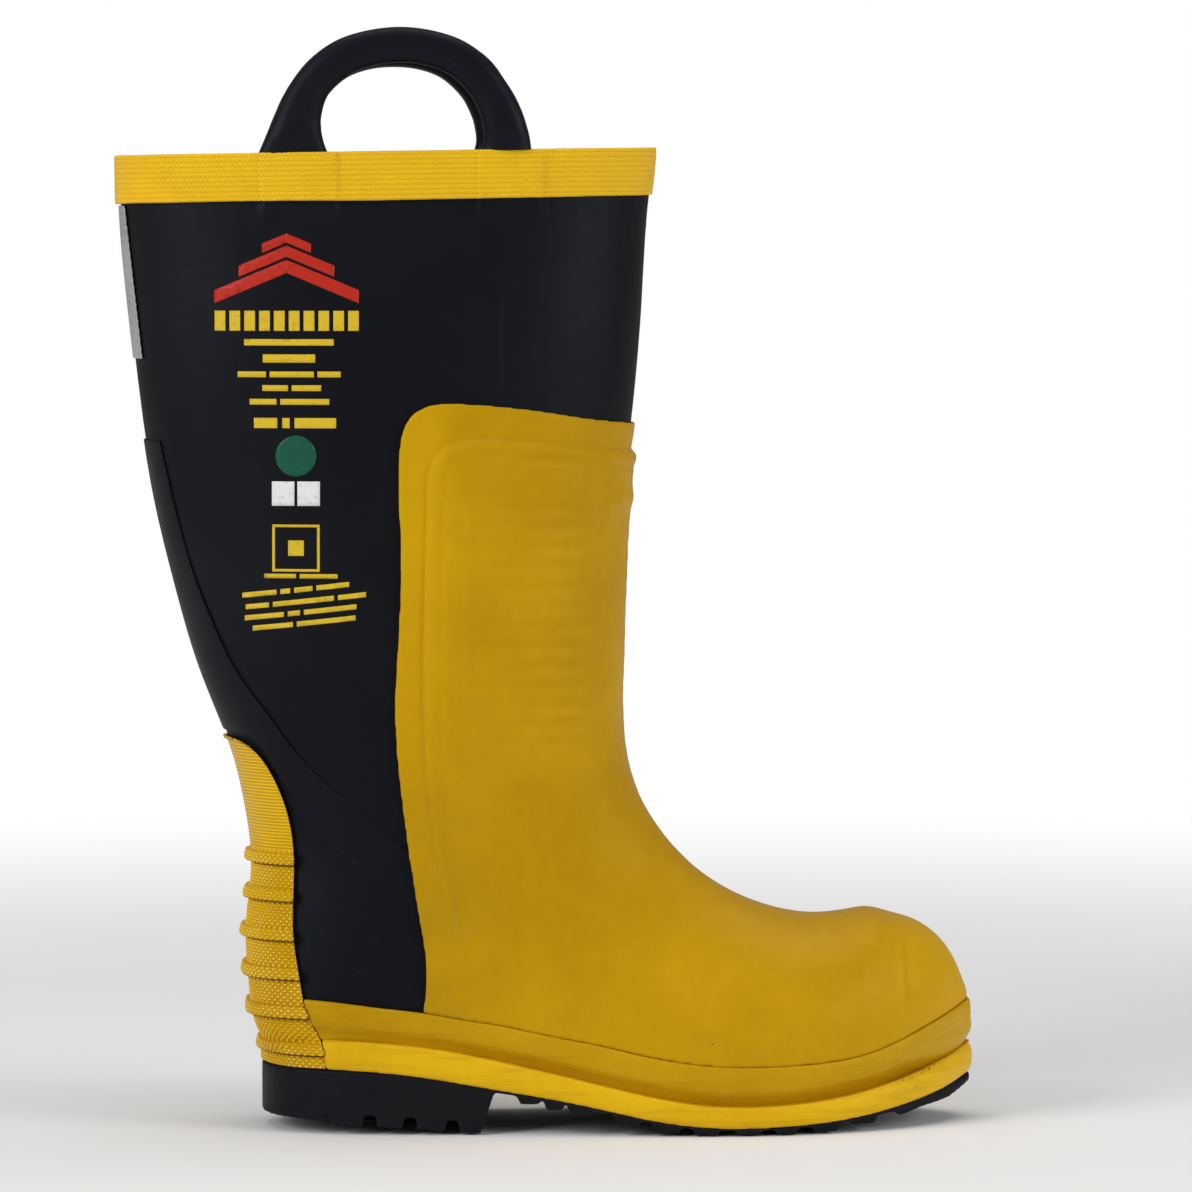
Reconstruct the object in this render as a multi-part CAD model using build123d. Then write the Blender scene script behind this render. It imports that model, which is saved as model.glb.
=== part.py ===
from build123d import *
import math
import os

# Knee-length pull-on firefighter's rubber boot, right foot, built as one closed
# frame: X runs from heel to toe, Y runs from the outer (lateral) side at -Y to
# the inner (medial) side at +Y, Z is up. The origin is the middle of the flat
# heel tread, standing on the floor. All lengths are millimetres.
#
# The boot is a last-shaped form. Every layer of the wall is the space between
# two offsets of that form, so the layers nest with a small gap between them.

GAP = 0.15

# ---------------------------------------------------------------------------
# The form: a fan of closed sections, level at the rim, tilting round the
# instep and standing upright at the toe. Each row is front x, front z,
# back x, back z, half width, centre y, place of the widest line (0 back to
# 1 front), exponent of the front half and exponent of the back half.
# ---------------------------------------------------------------------------
SECTIONS = [
    (114.0, 418.0, -107.5, 418.0, 51.0, 0.0, 0.48, 2.3, 2.3),
    (112.8, 385.0, -106.5, 385.0, 51.5, 0.0, 0.48, 2.3, 2.3),
    (110.0, 343.0, -103.2, 343.0, 52.5, 0.0, 0.48, 2.3, 2.3),
    (106.6, 302.0, -98.6, 302.0, 53.0, 0.0, 0.48, 2.3, 2.3),
    (102.4, 262.0, -92.5, 262.0, 52.5, 0.0, 0.48, 2.3, 2.3),
    (100.0, 222.0, -83.0, 222.0, 50.5, 0.0, 0.48, 2.3, 2.3),
    (98.2, 190.0, -73.5, 190.0, 47.5, 0.0, 0.48, 2.3, 2.3),
    (98.3, 166.0, -62.5, 162.0, 44.5, 0.0, 0.48, 2.25, 2.25),
    (101.5, 147.0, -53.5, 133.0, 42.0, 0.0, 0.48, 2.2, 2.2),
    (107.0, 133.5, -51.0, 106.0, 40.5, 0.0, 0.47, 2.1, 2.3),
    (113.0, 124.0, -53.0, 80.0, 39.5, -0.5, 0.46, 2.0, 2.6),
    (118.0, 117.5, -51.8, 58.0, 39.0, -1.0, 0.44, 2.0, 3.0),
    (122.5, 112.5, -46.5, 38.5, 38.5, -1.5, 0.42, 2.0, 3.6),
    (127.0, 108.0, -22.0, 33.0, 38.0, -2.0, 0.38, 2.0, 4.5),
    (133.0, 103.0, 15.0, 31.5, 37.5, -2.8, 0.34, 2.0, 5.0),
    (141.0, 97.5, 55.0, 25.5, 38.5, -3.6, 0.31, 2.0, 5.0),
    (151.0, 92.3, 92.0, 16.5, 42.5, -3.8, 0.30, 2.0, 5.0),
    (163.0, 88.3, 124.0, 10.0, 47.0, -3.0, 0.29, 2.05, 5.0),
    (177.0, 86.0, 150.0, 8.2, 49.0, -2.0, 0.29, 2.1, 5.0),
    (191.0, 86.0, 173.0, 8.8, 47.0, -0.5, 0.31, 2.15, 4.5),
    (204.0, 86.3, 193.0, 11.4, 42.5, 1.2, 0.34, 2.2, 4.0),
    (215.5, 83.8, 209.0, 15.1, 36.0, 2.6, 0.37, 2.2, 3.5),
    (226.8, 79.6, 222.0, 19.4, 28.0, 3.6, 0.42, 2.2, 2.9),
    (236.4, 71.0, 232.5, 24.3, 19.0, 4.4, 0.46, 2.15, 2.5),
    (242.1, 60.5, 240.3, 30.6, 10.5, 5.0, 0.5, 2.1, 2.2),
    (244.9, 53.0, 244.9, 38.6, 5.6, 5.0, 0.5, 2.0, 2.0),
]
RING_POINTS = 36
FINE_POINTS = 720


def minus(a, b):
    return tuple(p - q for p, q in zip(a, b))


def cross(a, b):
    x = a[1] * b[2] - a[2] * b[1]
    y = a[2] * b[0] - a[0] * b[2]
    z = a[0] * b[1] - a[1] * b[0]
    return (x, y, z)


def unit(a):
    size = math.sqrt(sum(p * p for p in a))
    return tuple(p / size for p in a)


def section_points(row):
    """Points round one section, starting at the middle of its back."""
    front_x, front_z, back_x, back_z, half, middle_y, widest, front_n, back_n = row
    fine = []
    for k in range(FINE_POINTS):
        angle = 2.0 * math.pi * k / FINE_POINTS
        along = -math.cos(angle)
        side = math.sin(angle)
        n = front_n if along >= 0 else back_n
        reach = abs(along) ** (2.0 / n)
        share = widest + (1 - widest) * reach if along >= 0 else widest - widest * reach
        across = -half * math.copysign(abs(side) ** (2.0 / n), side)
        x = back_x + (front_x - back_x) * share
        z = back_z + (front_z - back_z) * share
        fine.append((x, middle_y + across, z))
    return spread(fine)


def spread(fine):
    """Pick points by arc length and by turning, so tight corners get more."""
    count = len(fine)
    steps = [math.dist(fine[k], fine[(k + 1) % count]) for k in range(count)]
    ways = [unit(minus(fine[(k + 1) % count], fine[k])) for k in range(count)]
    turns = []
    for k in range(count):
        cosine = sum(p * q for p, q in zip(ways[k - 1], ways[k]))
        turns.append(math.acos(max(-1.0, min(1.0, cosine))))
    length = sum(steps)
    turning = sum(turns)
    marks = [0.0]
    for k in range(count):
        bend = (turns[k] + turns[(k + 1) % count]) / 2
        marks.append(marks[-1] + 0.55 * steps[k] / length + 0.45 * bend / turning)
    picked = []
    k = 0
    for j in range(RING_POINTS):
        target = marks[-1] * j / RING_POINTS
        while marks[k + 1] < target:
            k += 1
        part = (target - marks[k]) / (marks[k + 1] - marks[k])
        start = fine[k]
        end = fine[(k + 1) % count]
        picked.append(tuple(p + (q - p) * part for p, q in zip(start, end)))
    return picked


RINGS = [section_points(row) for row in SECTIONS]


def ring_normals():
    """Outward directions at every ring point."""
    table = []
    last = len(RINGS) - 1
    for j, ring in enumerate(RINGS):
        above = RINGS[j - 1] if j > 0 else ring
        below = RINGS[j + 1] if j < last else ring
        row = []
        for i in range(RING_POINTS):
            round_way = minus(ring[(i + 1) % RING_POINTS], ring[i - 1])
            down_way = minus(below[i], above[i])
            normal = unit(cross(down_way, round_way))
            if j == 0:
                normal = unit((normal[0], normal[1], 0.0))
            if j == last:
                outward = unit((0.0, normal[1], normal[2]))
                normal = (1.0, 0.4 * outward[1], 0.4 * outward[2])
            row.append(normal)
        table.append(row)
    return table


NORMALS = ring_normals()
OUTWARD = 1.0 if NORMALS[3][0][0] < 0 else -1.0


def half_spline(points):
    """Smooth curve through half a section, level across the boot at both ends."""
    count = len(points) - 1
    side = 1 if points[1].Y > points[0].Y else -1
    leave = Vector(0, side * count * (points[1] - points[0]).length, 0)
    arrive = Vector(0, -side * count * (points[-1] - points[-2]).length, 0)
    places = [k / count for k in range(count + 1)]
    return Edge.make_spline(points, tangents=[leave, arrive], parameters=places, scale=False)


def ring_wire(j, distance):
    """One section as two open splines joined at the back and at the front."""
    points = []
    for place, normal in zip(RINGS[j], NORMALS[j]):
        way = normal if j == len(RINGS) - 1 else tuple(OUTWARD * n for n in normal)
        points.append(Vector(*(p + distance * n for p, n in zip(place, way))))
    half = RING_POINTS // 2
    first = points[: half + 1]
    second = points[half:] + [points[0]]
    edges = [half_spline(first), half_spline(second)]
    return Wire(edges)


FORMS = {}


def form(distance):
    """The whole boot shape grown outward (or inward) by a distance."""
    if distance not in FORMS:
        wires = [ring_wire(j, distance) for j in range(len(RINGS))]
        FORMS[distance] = Solid.make_loft(wires)
    return FORMS[distance]


LAYERS = {}


def layer(outer, inner):
    """The skin between two offsets of the form."""
    key = (outer, inner)
    if key not in LAYERS:
        LAYERS[key] = form(outer) - form(inner)
    return LAYERS[key]


# ---------------------------------------------------------------------------
# Trimming shapes
# ---------------------------------------------------------------------------
def run_edge(points):
    if len(points) == 2:
        return Edge.make_line(points[0], points[1])
    return Edge.make_spline(points)


def side_region(runs, y_from=-90.0, y_to=90.0):
    """A prism along Y whose outline is a chain of (x, z) runs."""
    edges = []
    for run in runs:
        edges.append(run_edge([Vector(x, y_from, z) for x, z in run]))
    face = Face(Wire(edges))
    return Solid.extrude(face, Vector(0, y_to - y_from, 0))


def side_polygon(points, y_from=-90.0, y_to=90.0):
    """A prism along Y with straight sides."""
    closed = points + [points[0]]
    return side_region([closed[k:k + 2] for k in range(len(points))], y_from, y_to)


def lift(points, amount):
    """Move a line of (x, z) points up."""
    return [(x, z + amount) for x, z in points]


def shift_outline(points, distance):
    """Move a closed (x, y) outline outward by a distance."""
    moved = []
    count = len(points)
    for k in range(count):
        before = points[k - 1]
        after = points[(k + 1) % count]
        along_x = after[0] - before[0]
        along_y = after[1] - before[1]
        size = math.hypot(along_x, along_y)
        x = points[k][0] + distance * along_y / size
        y = points[k][1] - distance * along_x / size
        moved.append((x, y))
    return moved


def plan_prism(points, z_from, z_to):
    """A prism along Z with a smooth closed outline."""
    edge = Edge.make_spline([Vector(x, y, z_from) for x, y in points], periodic=True)
    return Solid.extrude(Face(Wire([edge])), Vector(0, 0, z_to - z_from))


def block(x_from, x_to, y_from, y_to, z_from, z_to):
    size = (x_to - x_from, y_to - y_from, z_to - z_from)
    middle = ((x_from + x_to) / 2, (y_from + y_to) / 2, (z_from + z_to) / 2)
    return Pos(*middle) * Box(*size)


# Outer edge of the sole seen from above, anticlockwise from the heel back.
SOLE_OUTLINE = [
    (-49.5, 0.0), (-46.5, -16.0), (-37.0, -31.0), (-20.0, -40.5), (5.0, -44.8), (35.0, -46.0),
    (65.0, -48.5), (95.0, -52.3), (125.0, -55.8), (150.0, -56.3), (173.0, -53.2),
    (194.0, -46.5), (212.0, -37.0), (227.0, -25.5), (239.0, -12.5), (246.5, -1.0),
    (249.5, 6.0), (246.8, 14.5), (239.0, 25.0), (227.0, 35.0), (211.0, 43.8),
    (192.0, 49.8), (170.0, 52.3), (146.0, 51.3), (122.0, 48.8), (95.0, 44.6),
    (65.0, 41.2), (35.0, 40.3), (5.0, 40.3), (-20.0, 37.0), (-37.0, 28.8), (-46.5, 15.5),
]


# Outline of the insole board, well inside the walls.
INSOLE_OUTLINE = [
    (-37.0, 0.0), (-33.5, -12.5), (-22.0, -25.5), (-2.0, -31.5), (35.0, -33.3), (65.0, -35.8),
    (95.0, -39.6), (125.0, -43.0), (150.0, -43.4), (173.0, -40.4), (194.0, -34.0),
    (211.0, -25.0), (224.0, -14.5), (233.0, -3.0), (236.0, 6.0), (233.0, 15.5),
    (224.0, 25.0), (210.0, 32.0), (191.0, 37.2), (170.0, 39.4), (146.0, 38.4), (122.0, 35.9),
    (95.0, 31.8), (65.0, 28.5), (35.0, 27.6), (3.0, 27.4), (-21.0, 24.2), (-33.0, 12.3),
]
# Underside of the form seen from the side.
FEATHER_LINE = [
    (-60.0, 34.0), (-22.0, 33.0), (15.0, 31.5), (55.0, 25.5), (92.0, 16.5), (124.0, 10.0),
    (150.0, 8.2), (173.0, 8.8), (193.0, 12.2), (209.0, 17.0), (222.0, 22.8), (232.5, 29.0),
    (262.0, 48.0),
]


def sole_prism(inset, z_from=-5.0, z_to=75.0):
    return plan_prism(shift_outline(SOLE_OUTLINE, -inset), z_from, z_to)


def insole_prism(inset):
    """Room under and just above the foot's underside, inside the walls."""
    top = lift(FEATHER_LINE, 9.0)
    low_front = (262.0, -6.0)
    low_rear = (-60.0, -6.0)
    runs = [top, [top[-1], low_front], [low_front, low_rear], [low_rear, top[0]]]
    return plan_prism(shift_outline(INSOLE_OUTLINE, -inset), -5.0, 75.0) & side_region(runs)


# Lines along the sole seen from the side, from the rear to the toe.
FOXING_TOP = [
    (-31.8, 55.0), (-16.6, 53.8), (-0.2, 51.7), (16.3, 49.7), (32.7, 46.8), (49.1, 44.2),
    (65.5, 40.7), (90.1, 36.0), (106.6, 32.2), (123.0, 29.3), (139.4, 27.7), (155.8, 27.5),
    (172.2, 27.9), (188.7, 29.1), (205.1, 32.2), (221.5, 38.3), (237.9, 45.2), (254.0, 53.0),
]
BEAD_TOP = [
    (-24.6, 38.2), (8.0, 36.1), (24.5, 34.0), (40.9, 30.9), (57.3, 27.3), (73.7, 23.6),
    (90.1, 19.7), (106.6, 15.9), (123.0, 12.8), (139.4, 11.0), (155.8, 10.8), (172.2, 11.6),
    (188.7, 13.4), (205.1, 16.6), (221.5, 20.9), (237.9, 26.4), (254.0, 34.2),
]
BEAD_FOOT = [
    (-22.4, 26.4), (8.0, 24.6), (24.5, 22.3), (40.9, 19.4), (57.3, 16.7), (73.7, 13.9),
    (90.1, 10.6), (106.6, 7.0), (123.0, 4.3), (139.4, 3.0), (155.8, 2.9), (172.2, 3.5),
    (188.7, 4.8), (205.1, 7.1), (221.5, 10.4), (237.9, 14.8), (254.0, 22.0),
]
# Rear edge of the foxing, where the heel guard begins.
FOXING_REAR = [(-31.8, 55.0), (-30.6, 50.6), (-27.7, 44.7), (-24.6, 38.2)]
BEAD_REAR = [(-24.6, 38.2), (-23.2, 32.4), (-22.4, 26.4)]


def band_region(lower, upper, rear, down=0.0, up=0.0):
    """Region between two sole lines; the rear run goes from upper to lower."""
    low = lift(lower, up)
    high = lift(upper, -down)
    rear_run = [high[0]] + rear[1:-1] + [low[0]]
    front_run = [low[-1], high[-1]]
    return side_region([rear_run, low, front_run, high[::-1]])


# ---------------------------------------------------------------------------
# Rim
# ---------------------------------------------------------------------------
RIM_REAR_Z = 403.4
RIM_SLOPE = 0.0149
BAND_HEIGHT = 20.0


def rim_z(x):
    return RIM_REAR_Z + RIM_SLOPE * (x + 108.0)


def below_rim(drop):
    left = (-170.0, rim_z(-170.0) - drop)
    right = (270.0, rim_z(270.0) - drop)
    return side_polygon([(-170.0, -30.0), (270.0, -30.0), right, left])


def above_rim(drop):
    left = (-170.0, rim_z(-170.0) - drop)
    right = (270.0, rim_z(270.0) - drop)
    return side_polygon([left, right, (270.0, 440.0), (-170.0, 440.0)])


# ---------------------------------------------------------------------------
# Wall: skin, middle layer and felt
# ---------------------------------------------------------------------------
SKIN_OUT = 0.02
SKIN_IN = -2.2
MID_OUT = -2.35
MID_IN = -4.35
FELT_OUT = -4.5
FELT_IN = -7.0
LASTING_INSET = 4.5


def upper_rubber():
    """Black outer skin with a lasting margin turned in under the foot."""
    skin = layer(SKIN_OUT, SKIN_IN) & below_rim(0.0)
    return skin - insole_prism(LASTING_INSET)


def bottom_filler():
    """Sheet that fills the opening left inside the lasting margin."""
    return layer(SKIN_OUT, SKIN_IN) & insole_prism(LASTING_INSET + GAP)


def felt_lining():
    """Felt sock, closed under the foot."""
    return layer(FELT_OUT, FELT_IN) & below_rim(1.0)


def insole_board():
    """Stiff board under the felt sock."""
    return layer(MID_OUT, MID_IN) & insole_prism(0.0)


def board_room():
    return insole_prism(-GAP)


CAP_REAR_X = 190.0
CAP_STRIP_WIDTH = 12.0


def steel_toe_cap():
    """Steel cap with a turned-in flange round the insole board."""
    cap = layer(MID_OUT, MID_IN) & block(CAP_REAR_X, 260, -80, 80, -10, 120)
    return cap - board_room()


def toe_cap_edge_strip():
    """Soft strip behind the rear edge of the steel cap."""
    front = CAP_REAR_X - GAP
    strip = layer(MID_OUT, MID_IN) & block(front - CAP_STRIP_WIDTH, front, -80, 80, -10, 120)
    return strip - board_room()


COUNTER_STIFF = [(-80.0, 20.0), (12.0, 20.0), (4.0, 75.0), (-20.0, 112.0), (-80.0, 128.0)]


def counter_stiffener():
    """Stiff heel cup in the middle layer."""
    cup = layer(MID_OUT, MID_IN) & side_polygon(COUNTER_STIFF)
    return cup - board_room()


HANDLE_FEET = [(-48.6, -17.4), (40.1, 67.6)]
FOOT_DEPTH = 27.0


def foot_room(x_range, side, slack):
    x_from = x_range[0] - slack
    x_to = x_range[1] + slack
    z_from = rim_z(x_range[0]) - FOOT_DEPTH - slack
    y_from, y_to = (-80.0, -20.0) if side < 0 else (20.0, 80.0)
    return block(x_from, x_to, y_from, y_to, z_from, 420.0)


def handle_foot(x_range, side):
    """Flat foot of a handle, laid into the middle layer at the rim."""
    return layer(MID_OUT, MID_IN) & foot_room(x_range, side, 0.0) & below_rim(0.3)


def interlining():
    """Woven middle layer of the leg and the vamp."""
    slack = 2 * GAP
    body = layer(MID_OUT, MID_IN) & below_rim(1.0)
    front = CAP_REAR_X - CAP_STRIP_WIDTH - slack
    body = body - block(front, 260, -80, 80, -10, 120)
    grown = [(-90.0, 15.0), (13.0, 15.0), (4.6, 75.4), (-19.6, 112.6), (-90.0, 131.6)]
    body = body - side_polygon(grown) - board_room()
    for x_range in HANDLE_FEET:
        for side in (-1, 1):
            body = body - foot_room(x_range, side, GAP)
    return body


# ---------------------------------------------------------------------------
# Footbed
# ---------------------------------------------------------------------------
FOOTBED_OUT = -7.2
FOOTBED_INSET = 3.5
FOOTBED_END_X = 224.0
FOOTBED_TOP = [
    (-49.0, 47.0), (-30.0, 45.2), (0.0, 44.4), (30.0, 42.4), (60.0, 37.0), (92.0, 28.6),
    (124.0, 22.2), (150.0, 20.2), (173.0, 20.8), (193.0, 24.0), (209.0, 28.6), (236.0, 40.0),
]


def footbed_slice(down, up, inset):
    """Slice of the foot room between two depths below the footbed's top."""
    low = lift(FOOTBED_TOP, -down)
    high = lift(FOOTBED_TOP, -up)
    band = side_region([low, [low[-1], high[-1]], high[::-1], [high[0], low[0]]])
    plan = plan_prism(shift_outline(INSOLE_OUTLINE, -inset), -5.0, 75.0)
    room = band & plan & block(-80, FOOTBED_END_X, -80, 80, -10, 90)
    return room & form(FOOTBED_OUT)


def footbed():
    """Loose foam footbed."""
    return footbed_slice(20.0, 1.4, FOOTBED_INSET)


def footbed_cover():
    """Cloth face on the footbed."""
    return footbed_slice(1.3, 0.0, FOOTBED_INSET + 0.2)


# ---------------------------------------------------------------------------
# Sole
# ---------------------------------------------------------------------------
BEAD_WIDTH = 8.0
PLATE_OUT = 0.95
MIDSOLE_IN = 1.1
MIDSOLE_OUT = 2.6
OUTSOLE_IN = 2.75
SHANK_OUTLINE = [
    (-2.0, -2.5), (8.0, -10.5), (50.0, -12.0), (96.0, -13.0), (106.0, -4.0),
    (96.0, 5.0), (50.0, 5.0), (8.0, 5.5),
]


def under_foot_room():
    """Space that the plates under the foot need, with a margin."""
    return plan_prism(shift_outline(INSOLE_OUTLINE, 1.0), -5.0, 44.0)


def steel_midsole():
    """Thin puncture plate under the whole foot."""
    return layer(PLATE_OUT, GAP) & insole_prism(-0.5)


def shank():
    """Steel strip that bridges heel and forefoot."""
    return layer(MIDSOLE_OUT, MIDSOLE_IN) & plan_prism(SHANK_OUTLINE, -5.0, 45.0)


def midsole_rubber():
    """Filler midsole round the shank."""
    room = plan_prism(shift_outline(SHANK_OUTLINE, 2 * GAP), -5.0, 45.0)
    return (layer(MIDSOLE_OUT, MIDSOLE_IN) & insole_prism(0.0)) - room


# Underside of the outsole between the lugs, from the heel breast to the toe.
OUTSOLE_BASE = [
    (46.6, 17.2), (57.3, 15.6), (73.7, 12.8), (90.1, 9.6), (106.6, 6.0), (123.0, 3.3),
    (139.4, 2.1), (155.8, 2.0), (172.2, 2.5), (188.7, 3.7), (208.0, 6.4),
]
TOE_PIECE = [(211.7, 6.5), (225.6, 9.2), (240.0, 13.0), (256.0, 19.0)]
HEEL_TREAD_FROM = -5.0
HEEL_TREAD_TO = 41.0


def outsole_side(top_run):
    """Side outline of the outsole up to a given top run (rear to toe)."""
    rear_top = top_run[0]
    bevel = [(-60.0, 12.4), (-47.0, 8.4), (-28.0, 3.0), (HEEL_TREAD_FROM, 0.0)]
    runs = [
        [rear_top, bevel[0]],
        bevel,
        [bevel[-1], (HEEL_TREAD_TO, 0.0)],
        [(HEEL_TREAD_TO, 0.0), OUTSOLE_BASE[0]],
        OUTSOLE_BASE,
        [OUTSOLE_BASE[-1], TOE_PIECE[0]],
        TOE_PIECE,
        [TOE_PIECE[-1], top_run[-1]],
        top_run[::-1],
    ]
    return side_region(runs)


def base_z(x):
    """Height of the underside between the lugs."""
    for (x_a, z_a), (x_b, z_b) in zip(OUTSOLE_BASE, OUTSOLE_BASE[1:]):
        if x_a <= x <= x_b:
            return z_a + (z_b - z_a) * (x - x_a) / (x_b - x_a)
    return OUTSOLE_BASE[-1][1]


LUG_ROWS = [
    (56.1, 65.9, 12.4), (67.0, 75.6, 10.0), (76.8, 86.9, 7.8), (95.9, 107.4, 3.8),
    (111.5, 123.8, 0.9), (127.9, 139.4, 0.0), (145.6, 156.7, 0.0), (162.0, 172.3, 0.0),
    (177.6, 189.5, 0.6), (194.0, 205.9, 2.8),
]
LUG_BITE = 0.35


def lug_rows():
    """Ten rows of lugs under the forefoot, before the long grooves."""
    room = sole_prism(1.2, -2.0, 60.0)
    lugs = []
    for x_from, x_to, z_foot in LUG_ROWS:
        foot = [(x_from + 1.3, z_foot), (x_to - 1.3, z_foot)]
        front_root = (x_to + 0.4, base_z(x_to + 0.4) + LUG_BITE)
        rear_root = (x_from - 0.4, base_z(x_from - 0.4) + LUG_BITE)
        lugs.append(side_polygon(foot + [front_root, rear_root]) & room)
    return lugs


def long_grooves():
    """Two grooves that part each lug row in three."""
    grooves = []
    for y_at_waist, y_at_toe in ((-17.0, -18.0), (12.0, 19.0)):
        corners = [
            (50.0, y_at_waist - 2.2), (50.0, y_at_waist + 2.2),
            (208.0, y_at_toe + 2.2), (208.0, y_at_toe - 2.2),
        ]
        wire = Wire.make_polygon([Vector(x, y, -4.0) for x, y in corners], close=True)
        grooves.append(Solid.extrude(Face(wire), Vector(0, 0, 60.0)))
    return grooves


HEEL_NOTCHES = (-23.4, -4.7, 11.9, 29.4)


def heel_notch_tools():
    """Notches cut into both sides of the heel tread."""
    tools = []
    for x in HEEL_NOTCHES:
        shape = [(x - 3.8, -3.0), (x + 3.8, -3.0), (x + 2.2, 4.6), (x - 2.2, 4.6)]
        tools.append(side_polygon(shape, -60.0, -22.0))
        tools.append(side_polygon(shape, 20.0, 60.0))
    return tools


def heel_pocket(slack):
    """Pocket inside the heel block, open toward the foot."""
    room = sole_prism(13.0 - slack, 9.0 - slack, 60.0)
    return room - block(34.0 + slack, 300.0, -80, 80, -10, 90)


def outsole():
    """Lugged rubber outsole with its heel block."""
    edge = [(-60.0, 26.2), (-40.0, 26.3)] + lift(BEAD_FOOT, -GAP)
    body = outsole_side(edge) & sole_prism(0.7, -5.0, 60.0)
    rise = [(-60.0, 37.6)] + lift(BEAD_TOP, -0.5)
    core = outsole_side(rise) & sole_prism(BEAD_WIDTH + GAP + 0.3, -5.0, 60.0)
    sole = body + core
    grooves = long_grooves()
    for lug in lug_rows():
        for groove in grooves:
            lug = lug - groove
        sole = sole + lug
    sole = sole - form(OUTSOLE_IN) - heel_pocket(GAP)
    for tool in heel_notch_tools():
        sole = sole - tool
    return sole


def heel_filler():
    """Light block inside the heel."""
    cap = side_polygon([(-60.0, -5.0), (60.0, -5.0), (60.0, 36.0), (-60.0, 37.0)])
    return (heel_pocket(0.0) & cap) - form(OUTSOLE_IN)


def lower_foxing():
    """Moulded bead that runs round the forefoot, between sole and foxing."""
    region = band_region(BEAD_FOOT, BEAD_TOP, BEAD_REAR)
    ring = sole_prism(0.0) - sole_prism(BEAD_WIDTH)
    return (ring & region) - form(GAP)


def upper_foxing():
    """Smooth band above the bead."""
    region = band_region(BEAD_TOP, FOXING_TOP, FOXING_REAR, 0.0, GAP)
    return (layer(3.3, GAP) & region) - under_foot_room()


# ---------------------------------------------------------------------------
# Outer pieces on the skin
# ---------------------------------------------------------------------------
OVERLAY_OUT = 2.4
PAD_OUT = 2.3
PAD_OVER_OUT = 4.6
OVERLAY_REAR = [
    (17.0, 49.8), (18.6, 63.2), (18.2, 73.5), (16.3, 85.8), (13.0, 106.3), (10.1, 126.8),
    (8.0, 143.3), (6.2, 163.8), (5.8, 180.2), (6.6, 196.6), (7.5, 213.1), (8.0, 245.9),
    (7.3, 262.3), (7.3, 278.7), (9.0, 290.4), (12.6, 297.0), (18.0, 300.4), (26.0, 301.8),
]
OVERLAY_TOP = [
    (26.0, 301.8), (36.0, 301.7), (49.1, 300.6), (65.5, 298.6), (79.9, 296.2), (96.9, 293.8),
    (140.0, 290.0),
]
PAD_REAR = [
    (26.6, 140.0), (22.6, 158.0), (20.2, 180.2), (20.0, 220.0), (20.6, 262.3), (21.6, 273.5),
    (25.4, 281.6), (33.5, 285.4),
]
PAD_TOP = [(33.5, 285.4), (45.0, 285.6), (60.0, 284.2), (86.0, 281.6), (140.0, 276.0)]
PAD_FOOT = [(140.0, 150.0), (110.0, 139.5), (80.0, 134.5), (50.0, 134.0), (26.6, 140.0)]


def overlay_region():
    foot = [(x, z) for x, z in lift(FOXING_TOP, GAP) if x > 18.0]
    start = OVERLAY_REAR[0]
    runs = [
        OVERLAY_REAR,
        OVERLAY_TOP,
        [OVERLAY_TOP[-1], (300.0, 290.0)],
        [(300.0, 290.0), (300.0, foot[-1][1])],
        [(300.0, foot[-1][1]), foot[-1]],
        foot[::-1] + [start],
    ]
    return side_region(runs)


def pad_region(grow):
    """Outline of the shin pad, grown by a margin."""
    rear = [(x - grow, z) for x, z in PAD_REAR[:-1]] + [(PAD_REAR[-1][0], PAD_REAR[-1][1] + grow)]
    top = lift(PAD_TOP, grow)
    foot = lift(PAD_FOOT[:-1], -grow) + [rear[0]]
    return side_region([rear, top, [top[-1], foot[0]], foot])


def vamp_overlay():
    """Protective front piece: shin, instep and toe, raised over the pad."""
    outer = form(OVERLAY_OUT) + (form(PAD_OVER_OUT) & pad_region(2.2))
    inner = form(GAP) + (form(PAD_OUT + GAP) & pad_region(GAP))
    return (outer & overlay_region()) - inner


def shin_pad():
    """Foam pad under the front piece."""
    return layer(PAD_OUT, 2 * GAP) & pad_region(0.0)


GUARD_FRONT = [
    (-62.7, 162.4), (-57.4, 161.2), (-51.5, 157.2), (-47.0, 151.8), (-43.3, 145.2),
    (-40.4, 138.4), (-37.9, 130.4), (-36.3, 122.0), (-35.6, 112.0), (-35.9, 98.0),
    (-36.0, 82.0), (-35.0, 73.0), (-33.5, 64.0), (-32.0, 55.0), (-30.8, 50.6),
    (-27.9, 44.7), (-24.8, 38.2), (-23.4, 32.4), (-22.6, 26.4),
]
RIB_HEIGHTS = (112.9, 97.8, 81.8, 65.8, 50.0, 34.6)
RIB_TALL = 4.2


def guard_region(z_from=26.7, z_to=200.0):
    """Room of the heel guard, seen from the side."""
    runs = [
        GUARD_FRONT,
        [GUARD_FRONT[-1], (-90.0, 26.4)],
        [(-90.0, 26.4), (-90.0, 162.4)],
        [(-90.0, 162.4), GUARD_FRONT[0]],
    ]
    return side_region(runs) & block(-120, 20, -80, 80, z_from, z_to)


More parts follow.
